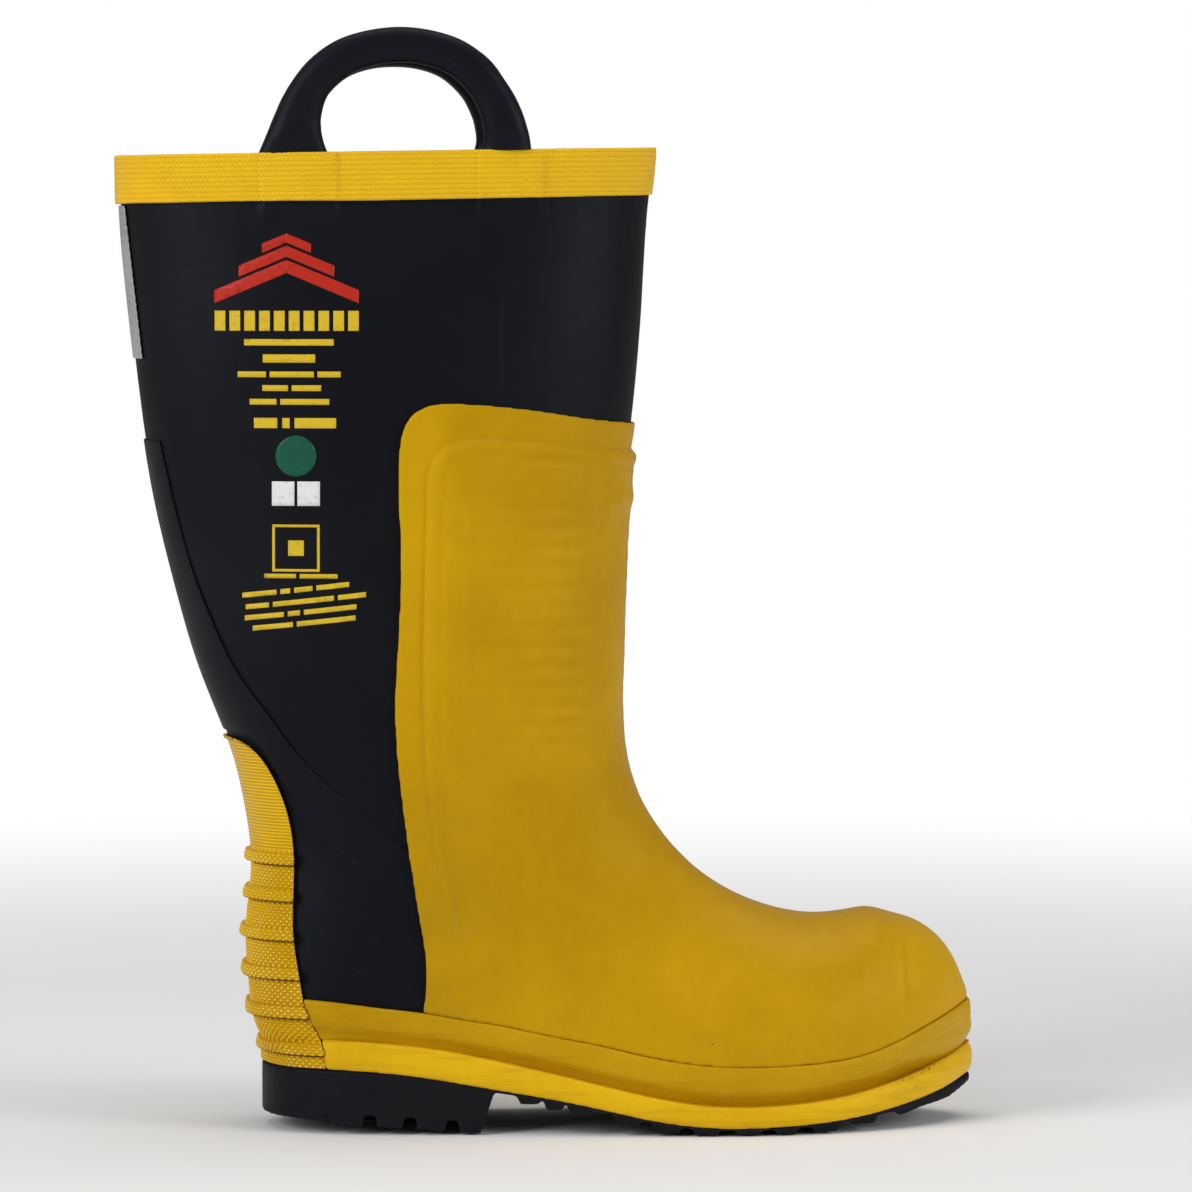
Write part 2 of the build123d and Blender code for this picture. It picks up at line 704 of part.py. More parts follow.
def heel_counter_guard():
    """Heel guard with six kick ribs, reaching down to the heel block."""
    wall = (layer(OVERLAY_OUT, GAP) & guard_region()) - under_foot_room()
    ring = sole_prism(0.4, 20.0, 46.0) - sole_prism(BEAD_WIDTH, 15.0, 50.0)
    wall = wall + ((ring & guard_region()) - form(GAP))
    for z in RIB_HEIGHTS:
        band = guard_region(z - RIB_TALL / 2, z + RIB_TALL / 2)
        rib = (layer(OVERLAY_OUT + 2.0, GAP) & band) - under_foot_room()
        if z < 45.0:
            inside = sole_prism(BEAD_WIDTH, 15.0, 65.0)
            rim = sole_prism(-1.0, 20.0, 60.0) - inside
            rib = (rib - inside) + ((rim & band) - form(GAP))
        wall = wall + rib
    return wall


STAY_TOP = [
    (-90.6, 286.0), (-83.0, 252.8), (-75.0, 226.0), (-66.7, 206.0), (-59.0, 190.6),
    (-46.6, 173.6), (-34.6, 157.4), (-16.6, 140.0), (-3.9, 129.0), (8.0, 119.6),
]
STAY_FOOT = [(-2.2, 104.9), (-12.1, 112.5), (-24.8, 123.6), (-35.9, 138.6), (-44.0, 150.4),
             (-53.0, 162.9), (-62.7, 165.0)]


def ankle_stay():
    """Raised strap from the back of the leg down to the instep."""
    runs = [
        STAY_TOP,
        [STAY_TOP[-1], STAY_FOOT[0]],
        STAY_FOOT,
        [STAY_FOOT[-1], (-120.0, 165.0)],
        [(-120.0, 165.0), (-120.0, 286.0)],
        [(-120.0, 286.0), STAY_TOP[0]],
    ]
    return layer(1.35, GAP) & side_region(runs)


def reflective_strip():
    """Reflective patch across the back of the leg."""
    shape = [(-130.0, 319.5), (-93.0, 319.5), (-98.0, 383.0), (-130.0, 382.0)]
    return layer(0.95, GAP) & side_polygon(shape)


def top_band():
    """Ribbed binding round the rim."""
    return layer(OVERLAY_OUT, GAP) & below_rim(0.0) & above_rim(BAND_HEIGHT)


# ---------------------------------------------------------------------------
# Pull handles
# ---------------------------------------------------------------------------
HANDLE_Y = 47.5
HANDLE_THICK = 12.0
HANDLE_PIVOT = 6.3
HANDLE_LEGS = [(-45.3, -24.4), (43.6, 61.4)]


def handle_arch():
    """Arch of a handle above its pivot line, built about z = 0 at the rim."""
    outer = [
        (-45.3, HANDLE_PIVOT), (-43.0, 15.0), (-37.5, 26.0), (-28.0, 38.0), (-14.0, 46.5),
        (7.0, 50.5), (28.0, 47.0), (43.0, 38.5), (52.5, 26.5), (58.5, 15.0), (61.4, HANDLE_PIVOT),
    ]
    inner = [
        (43.6, HANDLE_PIVOT), (41.5, 14.0), (36.5, 23.5), (27.0, 31.5), (7.0, 35.6),
        (-11.0, 32.0), (-20.5, 23.5), (-24.0, 14.0), (-24.4, HANDLE_PIVOT),
    ]
    runs = [outer, [outer[-1], inner[0]], inner, [inner[-1], outer[0]]]
    half = HANDLE_THICK / 2
    arch = side_region(runs, -half, half)
    long_edges = [e for e in arch.edges() if e.geom_type == GeomType.BSPLINE]
    return arch.fillet(4.0, long_edges)


def pull_handle(side):
    """Moulded pull handle that tips about the rim."""
    handle = handle_arch()
    for x_from, x_to in HANDLE_LEGS:
        barrel = Cylinder(HANDLE_THICK / 2, x_to - x_from, rotation=(0, 90, 0))
        handle = handle + Pos((x_from + x_to) / 2, 0, HANDLE_PIVOT) * barrel
    tilt = -math.degrees(math.atan(RIM_SLOPE))
    place = Pos(0, side * HANDLE_Y, rim_z(0.0)) * Rot(0, tilt, 0)
    return place * handle


# ---------------------------------------------------------------------------
# Writing the nodes
# ---------------------------------------------------------------------------
NODES = {
    "upper_rubber": upper_rubber,
    "felt_lining": felt_lining,
    "interlining": interlining,
    "counter_stiffener": counter_stiffener,
    "steel_toe_cap": steel_toe_cap,
    "toe_cap_edge_strip": toe_cap_edge_strip,
    "insole_board": insole_board,
    "bottom_filler": bottom_filler,
    "steel_midsole": steel_midsole,
    "shank": shank,
    "midsole_rubber": midsole_rubber,
    "outsole": outsole,
    "heel_filler": heel_filler,
    "lower_foxing": lower_foxing,
    "upper_foxing": upper_foxing,
    "vamp_overlay": vamp_overlay,
    "shin_pad": shin_pad,
    "heel_counter_guard": heel_counter_guard,
    "ankle_stay": ankle_stay,
    "reflective_strip": reflective_strip,
    "top_band": top_band,
    "footbed": footbed,
    "footbed_cover": footbed_cover,
    "pull_handle_lateral": lambda: pull_handle(-1),
    "pull_handle_medial": lambda: pull_handle(1),
    "handle_foot_lateral_rear": lambda: handle_foot(HANDLE_FEET[0], -1),
    "handle_foot_lateral_front": lambda: handle_foot(HANDLE_FEET[1], -1),
    "handle_foot_medial_rear": lambda: handle_foot(HANDLE_FEET[0], 1),
    "handle_foot_medial_front": lambda: handle_foot(HANDLE_FEET[1], 1),
}

os.makedirs("parts", exist_ok=True)
for name, build in NODES.items():
    export_step(build(), "parts/" + name + ".step")
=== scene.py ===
import bpy
import bmesh
import math
import numpy as np
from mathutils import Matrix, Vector
from mathutils.bvhtree import BVHTree


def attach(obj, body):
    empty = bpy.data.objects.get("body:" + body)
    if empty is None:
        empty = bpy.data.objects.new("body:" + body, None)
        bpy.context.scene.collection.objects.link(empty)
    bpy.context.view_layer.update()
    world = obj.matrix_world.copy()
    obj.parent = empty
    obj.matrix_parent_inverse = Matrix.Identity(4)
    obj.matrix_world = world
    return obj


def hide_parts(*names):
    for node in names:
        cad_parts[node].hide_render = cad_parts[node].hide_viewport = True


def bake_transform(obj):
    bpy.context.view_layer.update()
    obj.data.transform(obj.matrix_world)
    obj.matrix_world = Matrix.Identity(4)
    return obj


# Looks of the firefighter's rubber boot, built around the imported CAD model.
# X runs heel to toe, -Y is the outer side that faces the camera, Z is up.
# Outlines and reliefs are in millimetres, everything else in metres.

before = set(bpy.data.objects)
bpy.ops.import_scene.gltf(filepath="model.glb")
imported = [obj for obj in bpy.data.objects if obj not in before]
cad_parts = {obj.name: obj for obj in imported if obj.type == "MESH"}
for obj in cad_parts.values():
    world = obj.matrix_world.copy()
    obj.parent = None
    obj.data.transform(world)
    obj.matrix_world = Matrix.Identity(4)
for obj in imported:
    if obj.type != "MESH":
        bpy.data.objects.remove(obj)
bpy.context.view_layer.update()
MM = 0.001


# ---------------------------------------------------------------------------
# Mesh helpers
# ---------------------------------------------------------------------------
def link(obj):
    bpy.context.scene.collection.objects.link(obj)
    return obj


def copy_node(node, name):
    """A new object with the mesh of a CAD node, in the row frame."""
    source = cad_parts[node]
    mesh = source.data.copy()
    mesh.transform(source.matrix_world)
    mesh.materials.clear()
    return link(bpy.data.objects.new(name, mesh))


def bake_modifiers(obj):
    """Replace the mesh by its evaluated result and drop the modifiers."""
    depsgraph = bpy.context.evaluated_depsgraph_get()
    mesh = bpy.data.meshes.new_from_object(obj.evaluated_get(depsgraph))
    obj.modifiers.clear()
    obj.data = mesh
    return obj


def soften(obj, rounds):
    soft = obj.modifiers.new("Soft", "SMOOTH")
    soft.factor = 0.5
    soft.iterations = rounds


def remesh(obj, voxel, rounds):
    """Even small faces, voxel in mm, with edges rounded as in moulded rubber."""
    grid = obj.modifiers.new("Grid", "REMESH")
    grid.mode = "VOXEL"
    grid.voxel_size = voxel * MM
    soften(obj, rounds)
    bake_modifiers(obj)
    return shade_smooth(obj)


def shade_smooth(obj):
    flags = np.ones(len(obj.data.polygons), dtype=bool)
    obj.data.polygons.foreach_set("use_smooth", flags)
    obj.data.update()
    return obj


def read_points(obj):
    points = np.empty(len(obj.data.vertices) * 3)
    obj.data.vertices.foreach_get("co", points)
    return points.reshape(-1, 3)


def read_normals(obj):
    normals = np.empty(len(obj.data.vertices) * 3)
    obj.data.vertex_normals.foreach_get("vector", normals)
    return normals.reshape(-1, 3)


def write_points(obj, points):
    obj.data.vertices.foreach_set("co", points.reshape(-1))
    obj.data.update()


def step(low, high, value):
    """Smooth rise from 0 at low to 1 at high."""
    t = np.clip((value - low) / (high - low), 0.0, 1.0)
    return t * t * (3.0 - 2.0 * t)


def hump(centre, reach, value):
    """Smooth bump of height 1 at the centre, 0 beyond the reach."""
    t = np.clip(1.0 - np.abs(value - centre) / reach, 0.0, 1.0)
    return t * t * (3.0 - 2.0 * t)


def line_distance(line, x, z):
    """Distance in mm from (x, z) to a chain of points, and the side: + is to
    the left of the way the chain runs."""
    best = np.full(x.shape, 1e9)
    side = np.zeros(x.shape)
    for (ax, az), (bx, bz) in zip(line, line[1:]):
        dx, dz = bx - ax, bz - az
        t = np.clip(((x - ax) * dx + (z - az) * dz) / (dx * dx + dz * dz), 0.0, 1.0)
        ex, ez = x - ax - t * dx, z - az - t * dz
        distance = np.hypot(ex, ez)
        closer = distance < best
        best = np.where(closer, distance, best)
        side = np.where(closer, np.sign(dx * ez - dz * ex), side)
    return best, side


def surface_of(node):
    """Search tree over the faces of a CAD node."""
    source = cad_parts[node]
    points = [source.matrix_world @ v.co for v in source.data.vertices]
    faces = [tuple(p.vertices) for p in source.data.polygons]
    return BVHTree.FromPolygons(points, faces)


def nearest_on(tree, points):
    """Closest points on a surface, distances in mm and unit ways from there."""
    feet = np.array([tree.find_nearest(Vector(p))[0] for p in points])
    far = np.linalg.norm(points - feet, axis=1) / MM
    away = (points - feet) / np.maximum(far, 0.01)[:, None] / MM
    return feet, far, away


def waves(x, y, z, size, seed):
    """Smooth uneven field, about -1 to 1, with features of the size in mm."""
    rng = np.random.default_rng(seed)
    total = np.zeros(x.shape)
    for _ in range(7):
        way = rng.normal(size=3)
        way = way / np.linalg.norm(way) / (size * rng.uniform(0.7, 1.5))
        total += np.sin(2 * math.pi * (way[0] * x + way[1] * y + way[2] * z) + rng.uniform(0, 6.28))
    return total / 3.0


# ---------------------------------------------------------------------------
# Rim, feet of the handles and shared outlines, in millimetres
# ---------------------------------------------------------------------------
RIM_REAR_Z = 403.4
RIM_SLOPE = 0.0149
HANDLE_FEET = ((-48.6, -17.4), (40.1, 67.6))
FOOT_SWELL = 1.35
BAND_INSET = 1.0
BAND_RIB = 2.05
HEEL_MIDDLE = -22.0
HEEL_RADIUS = 36.0
HEEL_CELL = 3.0
HEEL_ROW = 2.6
KICK_GROOVE = 2.75
GUARD_RIB = 1.35
KICK_RIBS = (112.9, 97.8, 81.8, 65.8, 50.0, 34.6)


def rim_z(x):
    return RIM_REAR_Z + RIM_SLOPE * (x + 108.0)


# ---------------------------------------------------------------------------
# Material helpers
# ---------------------------------------------------------------------------
GOLD_TINT = (1.0, 0.74, 0.12)
COOL_TINT = (0.72, 0.80, 1.0)


class Shader:
    """A small wrapper that builds a node material piece by piece."""

    def __init__(self, name):
        self.material = bpy.data.materials.new(name)
        self.material.use_nodes = True
        self.tree = self.material.node_tree
        self.surface = self.tree.nodes["Principled BSDF"]
        coords = self.add("ShaderNodeTexCoord")
        self.place = coords.outputs["Object"]
        self.parts = self.add("ShaderNodeSeparateXYZ")
        self.join(self.place, self.parts.inputs[0])

    def add(self, kind):
        return self.tree.nodes.new(kind)

    def join(self, output, target):
        self.tree.links.new(output, target)

    def put(self, value, target):
        if isinstance(value, (int, float)):
            target.default_value = value
        elif isinstance(value, tuple):
            target.default_value = value if len(value) == 4 else value + (1.0,)
        else:
            self.join(value, target)

    def axis(self, letter):
        return self.parts.outputs["XYZ".index(letter)]

    def calc(self, operation, a, b=0.0, c=0.0):
        node = self.add("ShaderNodeMath")
        node.operation = operation
        for value, target in zip((a, b, c), node.inputs):
            self.put(value, target)
        return node.outputs[0]

    def noise(self, scale, detail=3.0, roughness=0.5, stretch=None):
        node = self.add("ShaderNodeTexNoise")
        node.inputs["Scale"].default_value = scale
        node.inputs["Detail"].default_value = detail
        node.inputs["Roughness"].default_value = roughness
        source = self.place
        if stretch:
            mapping = self.add("ShaderNodeMapping")
            mapping.inputs["Scale"].default_value = stretch
            self.join(self.place, mapping.inputs[0])
            source = mapping.outputs[0]
        self.join(source, node.inputs["Vector"])
        return node.outputs["Fac"]

    def specks(self, scale, size):
        """1 in small scattered dots, 0 elsewhere."""
        node = self.add("ShaderNodeTexVoronoi")
        node.inputs["Scale"].default_value = scale
        self.join(self.place, node.inputs["Vector"])
        near = self.ramp(node.outputs["Distance"], size * 0.6, size, 1.0, 0.0)
        chance = self.calc("GREATER_THAN", self.noise(scale * 0.9, 0.0), 0.58)
        return self.calc("MULTIPLY", near, chance)

    def ramp(self, value, low, high, out_low=0.0, out_high=1.0):
        node = self.add("ShaderNodeMapRange")
        node.interpolation_type = "SMOOTHSTEP"
        for number, target in zip((low, high, out_low, out_high), node.inputs[1:5]):
            target.default_value = number
        self.put(value, node.inputs[0])
        return node.outputs[0]

    def mix(self, share, a, b):
        node = self.add("ShaderNodeMix")
        node.data_type = "RGBA"
        # Sockets 6 and 7 and output 2 are the colour ones.
        self.put(share, node.inputs[0])
        self.put(a, node.inputs[6])
        self.put(b, node.inputs[7])
        return node.outputs[2]

    def ripple(self, place, pitch):
        """A sine over a place in metres with the given pitch, 0 to 1."""
        turns = self.calc("MULTIPLY", place, 2 * math.pi / pitch)
        return self.calc("MULTIPLY_ADD", self.calc("SINE", turns), 0.5, 0.5)

    def facing(self, letter):
        """How far the surface faces along an axis, 0 to 1."""
        geometry = self.add("ShaderNodeNewGeometry")
        parts = self.add("ShaderNodeSeparateXYZ")
        self.join(geometry.outputs["Normal"], parts.inputs[0])
        return self.calc("ABSOLUTE", parts.outputs["XYZ".index(letter)])

    def edges(self):
        """1 on worn outer edges."""
        geometry = self.add("ShaderNodeNewGeometry")
        return self.ramp(geometry.outputs["Pointiness"], 0.52, 0.60)

    def creases(self):
        """1 in inner corners, where shade is painted."""
        geometry = self.add("ShaderNodeNewGeometry")
        return self.ramp(geometry.outputs["Pointiness"], 0.40, 0.49, 1.0, 0.0)

    def bump(self, height, depth, strength):
        """Adds one more layer of relief; depth in metres."""
        node = self.add("ShaderNodeBump")
        node.inputs["Strength"].default_value = strength
        node.inputs["Distance"].default_value = depth
        self.join(height, node.inputs["Height"])
        if self.surface.inputs["Normal"].links:
            earlier = self.surface.inputs["Normal"].links[0].from_socket
            self.join(earlier, node.inputs["Normal"])
        self.join(node.outputs[0], self.surface.inputs["Normal"])

    def finish(self, color, rough, sheen=0.0, metal=0.0, specular=0.5, tint=(1.0, 1.0, 1.0)):
        self.put(color, self.surface.inputs["Base Color"])
        self.put(rough, self.surface.inputs["Roughness"])
        self.surface.inputs["Metallic"].default_value = metal
        self.surface.inputs["Specular IOR Level"].default_value = specular
        self.surface.inputs["Specular Tint"].default_value = tint + (1.0,)
        self.surface.inputs["Sheen Weight"].default_value = sheen
        return self.material


def yellow_base(shader, deep, bright):
    """Golden rubber colour with mottling, painted shade in corners and dark pits."""
    mottle = shader.ramp(shader.noise(14.0, 4.0), 0.35, 0.68)
    fine = shader.ramp(shader.noise(160.0, 3.0), 0.3, 0.75)
    share = shader.calc("MULTIPLY_ADD", fine, 0.25, shader.calc("MULTIPLY", mottle, 0.75))
    color = shader.mix(share, deep, bright)
    # Painted shade: the colour darkens in inner corners and creases.
    crease_shade = shader.calc("MULTIPLY", shader.creases(), 0.45)
    color = shader.mix(crease_shade, color, (0.16, 0.085, 0.006))
    pits = shader.specks(95.0, 0.035)
    return shader.mix(shader.calc("MULTIPLY", pits, 0.8), color, (0.06, 0.035, 0.01)), pits


def overlay_rubber():
    """Deep golden moulded rubber of the shin and vamp, with painted light that
    brightens its rear edge and the toe, duller low at the ankle."""
    s = Shader("overlay_rubber")
    color, pits = yellow_base(s, (0.428, 0.231, 0.0028), (0.525, 0.295, 0.0045))
    # Painted highlight: the rear edge of the shin, high up, is made brighter as if lit from the
    # left.
    rear_edge_light = s.ramp(s.axis("X"), 0.018, 0.036, 0.50, 0.0)
    high = s.ramp(s.axis("Z"), 0.11, 0.20)
    color = s.mix(s.calc("MULTIPLY", rear_edge_light, high), color, (0.62, 0.355, 0.0035))
    # Painted light: the low front of the toe is made brighter as if lit from the front.
    toe_front_light = s.ramp(s.axis("X"), 0.200, 0.240, 0.0, 0.55)
    toe_low = s.ramp(s.axis("Z"), 0.10, 0.075)
    color = s.mix(s.calc("MULTIPLY", toe_front_light, toe_low), color, (0.62, 0.345, 0.0025))
    ankle_rear = s.ramp(s.axis("X"), 0.030, 0.062, 0.40, 0.0)
    ankle_low = s.ramp(s.axis("Z"), 0.16, 0.10)
    dulled = s.calc("MULTIPLY", ankle_rear, ankle_low)
    patchy = s.calc("MULTIPLY", dulled, s.ramp(s.noise(24.0, 4.0), 0.35, 0.62))
    color = s.mix(patchy, color, (0.36, 0.225, 0.010))
    s.bump(s.noise(60.0, 3.0, 0.55, (1.0, 1.0, 3.0)), 0.0005, 0.5)
    s.bump(s.noise(1400.0, 2.0), 0.00005, 0.35)
    s.bump(s.calc("SUBTRACT", 1.0, pits), 0.0003, 0.8)
    rough = s.ramp(s.noise(30.0, 4.0), 0.3, 0.7, 0.36, 0.48)
    return s.finish(color, rough, specular=0.22, tint=GOLD_TINT)


def foxing_rubber(name, deep, bright):
    """Brighter smooth band rubber, with drag marks along the boot."""
    s = Shader(name)
    color, pits = yellow_base(s, deep, bright)
    drag = s.noise(26.0, 5.0, 0.65, (1.0, 1.0, 14.0))
    streak = s.ramp(drag, 0.45, 0.75)
    color = s.mix(s.calc("MULTIPLY", streak, 0.25), color, (0.28, 0.14, 0.004))
    s.bump(drag, 0.0006, 0.45)
    s.bump(s.noise(1200.0, 2.0), 0.00005, 0.35)
    s.bump(s.calc("SUBTRACT", 1.0, pits), 0.0003, 0.8)
    rough = s.ramp(streak, 0.0, 1.0, 0.38, 0.54)
    return s.finish(color, rough, specular=0.32, tint=GOLD_TINT)


def diamond_cells(s, along, pitch, tall):
    """Relief of small raised diamonds in offset rows, 0 to 1."""
    turn = s.calc("MULTIPLY", along, math.pi / pitch)
    rise = s.calc("MULTIPLY", s.axis("Z"), math.pi / tall)
    one = s.calc("ABSOLUTE", s.calc("SINE", s.calc("ADD", turn, rise)))
    two = s.calc("ABSOLUTE", s.calc("SINE", s.calc("SUBTRACT", turn, rise)))
    return s.calc("MULTIPLY", one, two)


def rim_depth(s):
    """Depth under the sloping rim, in metres."""
    height = s.calc("MULTIPLY_ADD", s.axis("X"), RIM_SLOPE, rim_z(0.0) * MM)
    return s.calc("SUBTRACT", height, s.axis("Z"))


def band_rubber():
    """Ribbed, cloth-printed rubber of the rim binding."""
    s = Shader("band_rubber")
    color, _ = yellow_base(s, (0.74, 0.412, 0.0060), (0.87, 0.515, 0.0100))
    ribs = s.ripple(rim_depth(s), BAND_RIB * MM)
    side_share = s.calc("GREATER_THAN", s.facing("Y"), 0.6)
    on_sides = s.calc("MULTIPLY", diamond_cells(s, s.axis("X"), 0.0019, 0.0012), side_share)
    end_share = s.calc("SUBTRACT", 1.0, side_share)
    on_ends = s.calc("MULTIPLY", diamond_cells(s, s.axis("Y"), 0.0019, 0.0012), end_share)
    cells = s.calc("ADD", on_sides, on_ends)
    patch = s.ramp(s.noise(14.0, 2.0), 0.44, 0.56)
    s.bump(ribs, 0.00022, 0.8)
    s.bump(s.calc("MULTIPLY", cells, patch), 0.00028, 0.9)
    s.bump(s.noise(900.0, 2.0), 0.00006, 0.4)
    # Painted shade in the grooves between the ribs.
    groove_shade = s.ramp(ribs, 0.0, 0.30, 0.30, 0.0)
    color = s.mix(groove_shade, color, (0.42, 0.20, 0.003))
    # Painted highlight on the tops of the raised cells, in patches.
    painted_glint = s.calc("MULTIPLY", s.ramp(cells, 0.55, 0.95), patch)
    color = s.mix(s.calc("MULTIPLY", painted_glint, 0.35), color, (0.93, 0.66, 0.12))
    return s.finish(color, s.ramp(cells, 0.0, 1.0, 0.48, 0.34), specular=0.35, tint=GOLD_TINT)


def heel_turn(s):
    """Arc length round the heel, in metres."""
    turn = s.calc("ARCTAN2", s.axis("Y"), s.calc("SUBTRACT", HEEL_MIDDLE * MM, s.axis("X")))
    return s.calc("MULTIPLY", turn, HEEL_RADIUS * MM)


def guard_rubber():
    """Heel guard: fine level ribs above, raised diamonds between the kick ribs."""
    s = Shader("guard_rubber")
    color, _ = yellow_base(s, (0.70, 0.395, 0.0060), (0.84, 0.505, 0.0110))
    lower = s.ramp(s.axis("Z"), 0.1155, 0.1165, 1.0, 0.0)
    upper = s.calc("SUBTRACT", 1.0, lower)
    cells = diamond_cells(s, heel_turn(s), HEEL_CELL * MM, HEEL_ROW * MM)
    ribs = s.ripple(s.axis("Z"), GUARD_RIB * MM)
    s.bump(s.calc("MULTIPLY", ribs, upper), 0.0004, 1.0)
    s.bump(s.calc("MULTIPLY", cells, lower), 0.0007, 1.0)
    s.bump(s.noise(900.0, 2.0), 0.00006, 0.4)
    # Painted shade in the grooves between the fine ribs.
    groove_shade = s.calc("MULTIPLY", s.ramp(ribs, 0.0, 0.45, 0.6, 0.0), upper)
    color = s.mix(groove_shade, color, (0.30, 0.14, 0.003))
    # Painted shade in the hollows between the raised diamonds.
    hollow_shade = s.calc("MULTIPLY", s.ramp(cells, 0.0, 0.30, 0.55, 0.0), lower)
    color = s.mix(hollow_shade, color, (0.32, 0.155, 0.003))
    # Painted highlight on the diamond tops, in patches.
    painted_glint = s.calc("MULTIPLY", s.ramp(cells, 0.66, 0.92), s.ramp(s.noise(60.0, 2.0), 0.38, 0.58))
    painted_glint = s.calc("MULTIPLY", painted_glint, lower)
    color = s.mix(s.calc("MULTIPLY", painted_glint, 0.6), color, (0.95, 0.72, 0.22))
    # Painted shadow: a dark line just under each kick rib.
    for height in KICK_RIBS:
        under = s.calc("SUBTRACT", s.axis("Z"), (height - KICK_GROOVE) * MM)
        line = s.ramp(s.calc("ABSOLUTE", under), 0.00015, 0.00075, 0.85, 0.0)
        color = s.mix(line, color, (0.13, 0.05, 0.002))
    return s.finish(color, 0.36, specular=0.5, tint=GOLD_TINT)


def black_rubber(name, base, dust, rough_low, rough_high, grain):
    """Near-black rubber with faint dust, scuffs and grain."""
    s = Shader(name)
    cloud = s.ramp(s.noise(9.0, 5.0, 0.6), 0.42, 0.72)
    color = s.mix(s.calc("MULTIPLY", cloud, 0.55), base, dust)
    scuff = s.ramp(s.noise(45.0, 6.0, 0.75, (1.0, 1.0, 6.0)), 0.63, 0.72)
    color = s.mix(s.calc("MULTIPLY", scuff, 0.16), color, (0.045, 0.045, 0.05))
    worn = s.calc("MULTIPLY", s.edges(), 0.22)
    color = s.mix(worn, color, (0.06, 0.06, 0.065))
    s.bump(s.noise(35.0, 4.0, 0.55), 0.0005, 0.35)
    s.bump(s.noise(grain, 3.0, 0.6), 0.00008, 0.45)
    rough = s.ramp(s.noise(22.0, 5.0, 0.6), 0.3, 0.72, rough_low, rough_high)
    return s.finish(color, rough, specular=0.10, tint=COOL_TINT)


def felt_cloth():
    """Grey needle felt with loose fibres."""
    s = Shader("felt_cloth")
    fibre = s.noise(700.0, 6.0, 0.8)
    cloud = s.noise(40.0, 4.0)
    color = s.mix(s.ramp(fibre, 0.35, 0.68), (0.30, 0.29, 0.27), (0.56, 0.54, 0.50))
    color = s.mix(s.ramp(cloud, 0.4, 0.7, 0.0, 0.35), color, (0.36, 0.34, 0.30))
    s.bump(fibre, 0.0005, 0.8)
    s.bump(cloud, 0.001, 0.4)
    return s.finish(color, 0.95, sheen=0.4, specular=0.2)


def woven_cloth():
    """Plain weave in straw-coloured yarn."""
    s = Shader("woven_cloth")
    yarns = s.calc("ADD", s.axis("X"), s.axis("Y"))
    over = diamond_cells(s, yarns, 0.0012, 0.0012)
    color = s.mix(over, (0.42, 0.33, 0.12), (0.70, 0.58, 0.26))
    color = s.mix(s.ramp(s.noise(300.0, 3.0), 0.4, 0.7, 0.0, 0.4), color, (0.5, 0.4, 0.18))
    s.bump(over, 0.0003, 0.9)
    return s.finish(color, 0.85, sheen=0.2, specular=0.25)


def reflective_tape():
    """Grey retroreflective tape with a fine cell pattern."""
    s = Shader("reflective_tape")
    cell = s.add("ShaderNodeTexVoronoi")
    cell.feature = "DISTANCE_TO_EDGE"
    cell.inputs["Scale"].default_value = 420.0
    s.join(s.place, cell.inputs["Vector"])
    walls = s.ramp(cell.outputs["Distance"], 0.02, 0.10, 1.0, 0.0)
    cloud = s.ramp(s.noise(30.0, 4.0), 0.35, 0.7)
    color = s.mix(cloud, (0.26, 0.275, 0.26), (0.36, 0.375, 0.35))
    color = s.mix(s.calc("MULTIPLY", walls, 0.5), color, (0.50, 0.52, 0.49))
    s.bump(walls, 0.0001, 0.6)
    return s.finish(color, 0.38, metal=0.25, specular=0.6)


def plain_steel():
    """Rolled steel with fine lengthwise grain."""
    s = Shader("rolled_steel")
    grain = s.noise(80.0, 5.0, 0.7, (1.0, 14.0, 14.0))
    color = s.mix(s.ramp(grain, 0.35, 0.7), (0.42, 0.43, 0.44), (0.62, 0.63, 0.64))
    s.bump(grain, 0.0001, 0.4)
    return s.finish(color, s.ramp(grain, 0.3, 0.7, 0.28, 0.42), metal=1.0)


def pressed_board():
    """Brown fibre board."""
    s = Shader("pressed_board")
    fibre = s.noise(420.0, 5.0, 0.75)
    color = s.mix(s.ramp(fibre, 0.35, 0.7), (0.20, 0.135, 0.07), (0.36, 0.26, 0.15))
    s.bump(fibre, 0.0002, 0.6)
    return s.finish(color, 0.85, specular=0.2)


def open_foam(name, low, high):
    """Fine-celled foam or filler."""
    s = Shader(name)
    cell = s.add("ShaderNodeTexVoronoi")
    cell.inputs["Scale"].default_value = 900.0
    s.join(s.place, cell.inputs["Vector"])
    color = s.mix(s.ramp(cell.outputs["Distance"], 0.1, 0.6), low, high)
    s.bump(cell.outputs["Distance"], 0.0002, 0.6)
    return s.finish(color, 0.8, specular=0.3)


def print_ink(name, low, high):
    """Screen-printed ink with a worn, slightly broken film."""
    s = Shader(name)
    wear = s.ramp(s.noise(420.0, 5.0, 0.7), 0.22, 0.50)
    color = s.mix(wear, low, high)
    s.bump(s.noise(700.0, 3.0), 0.00004, 0.4)
    return s.finish(color, s.ramp(wear, 0.0, 1.0, 0.5, 0.38), specular=0.18)


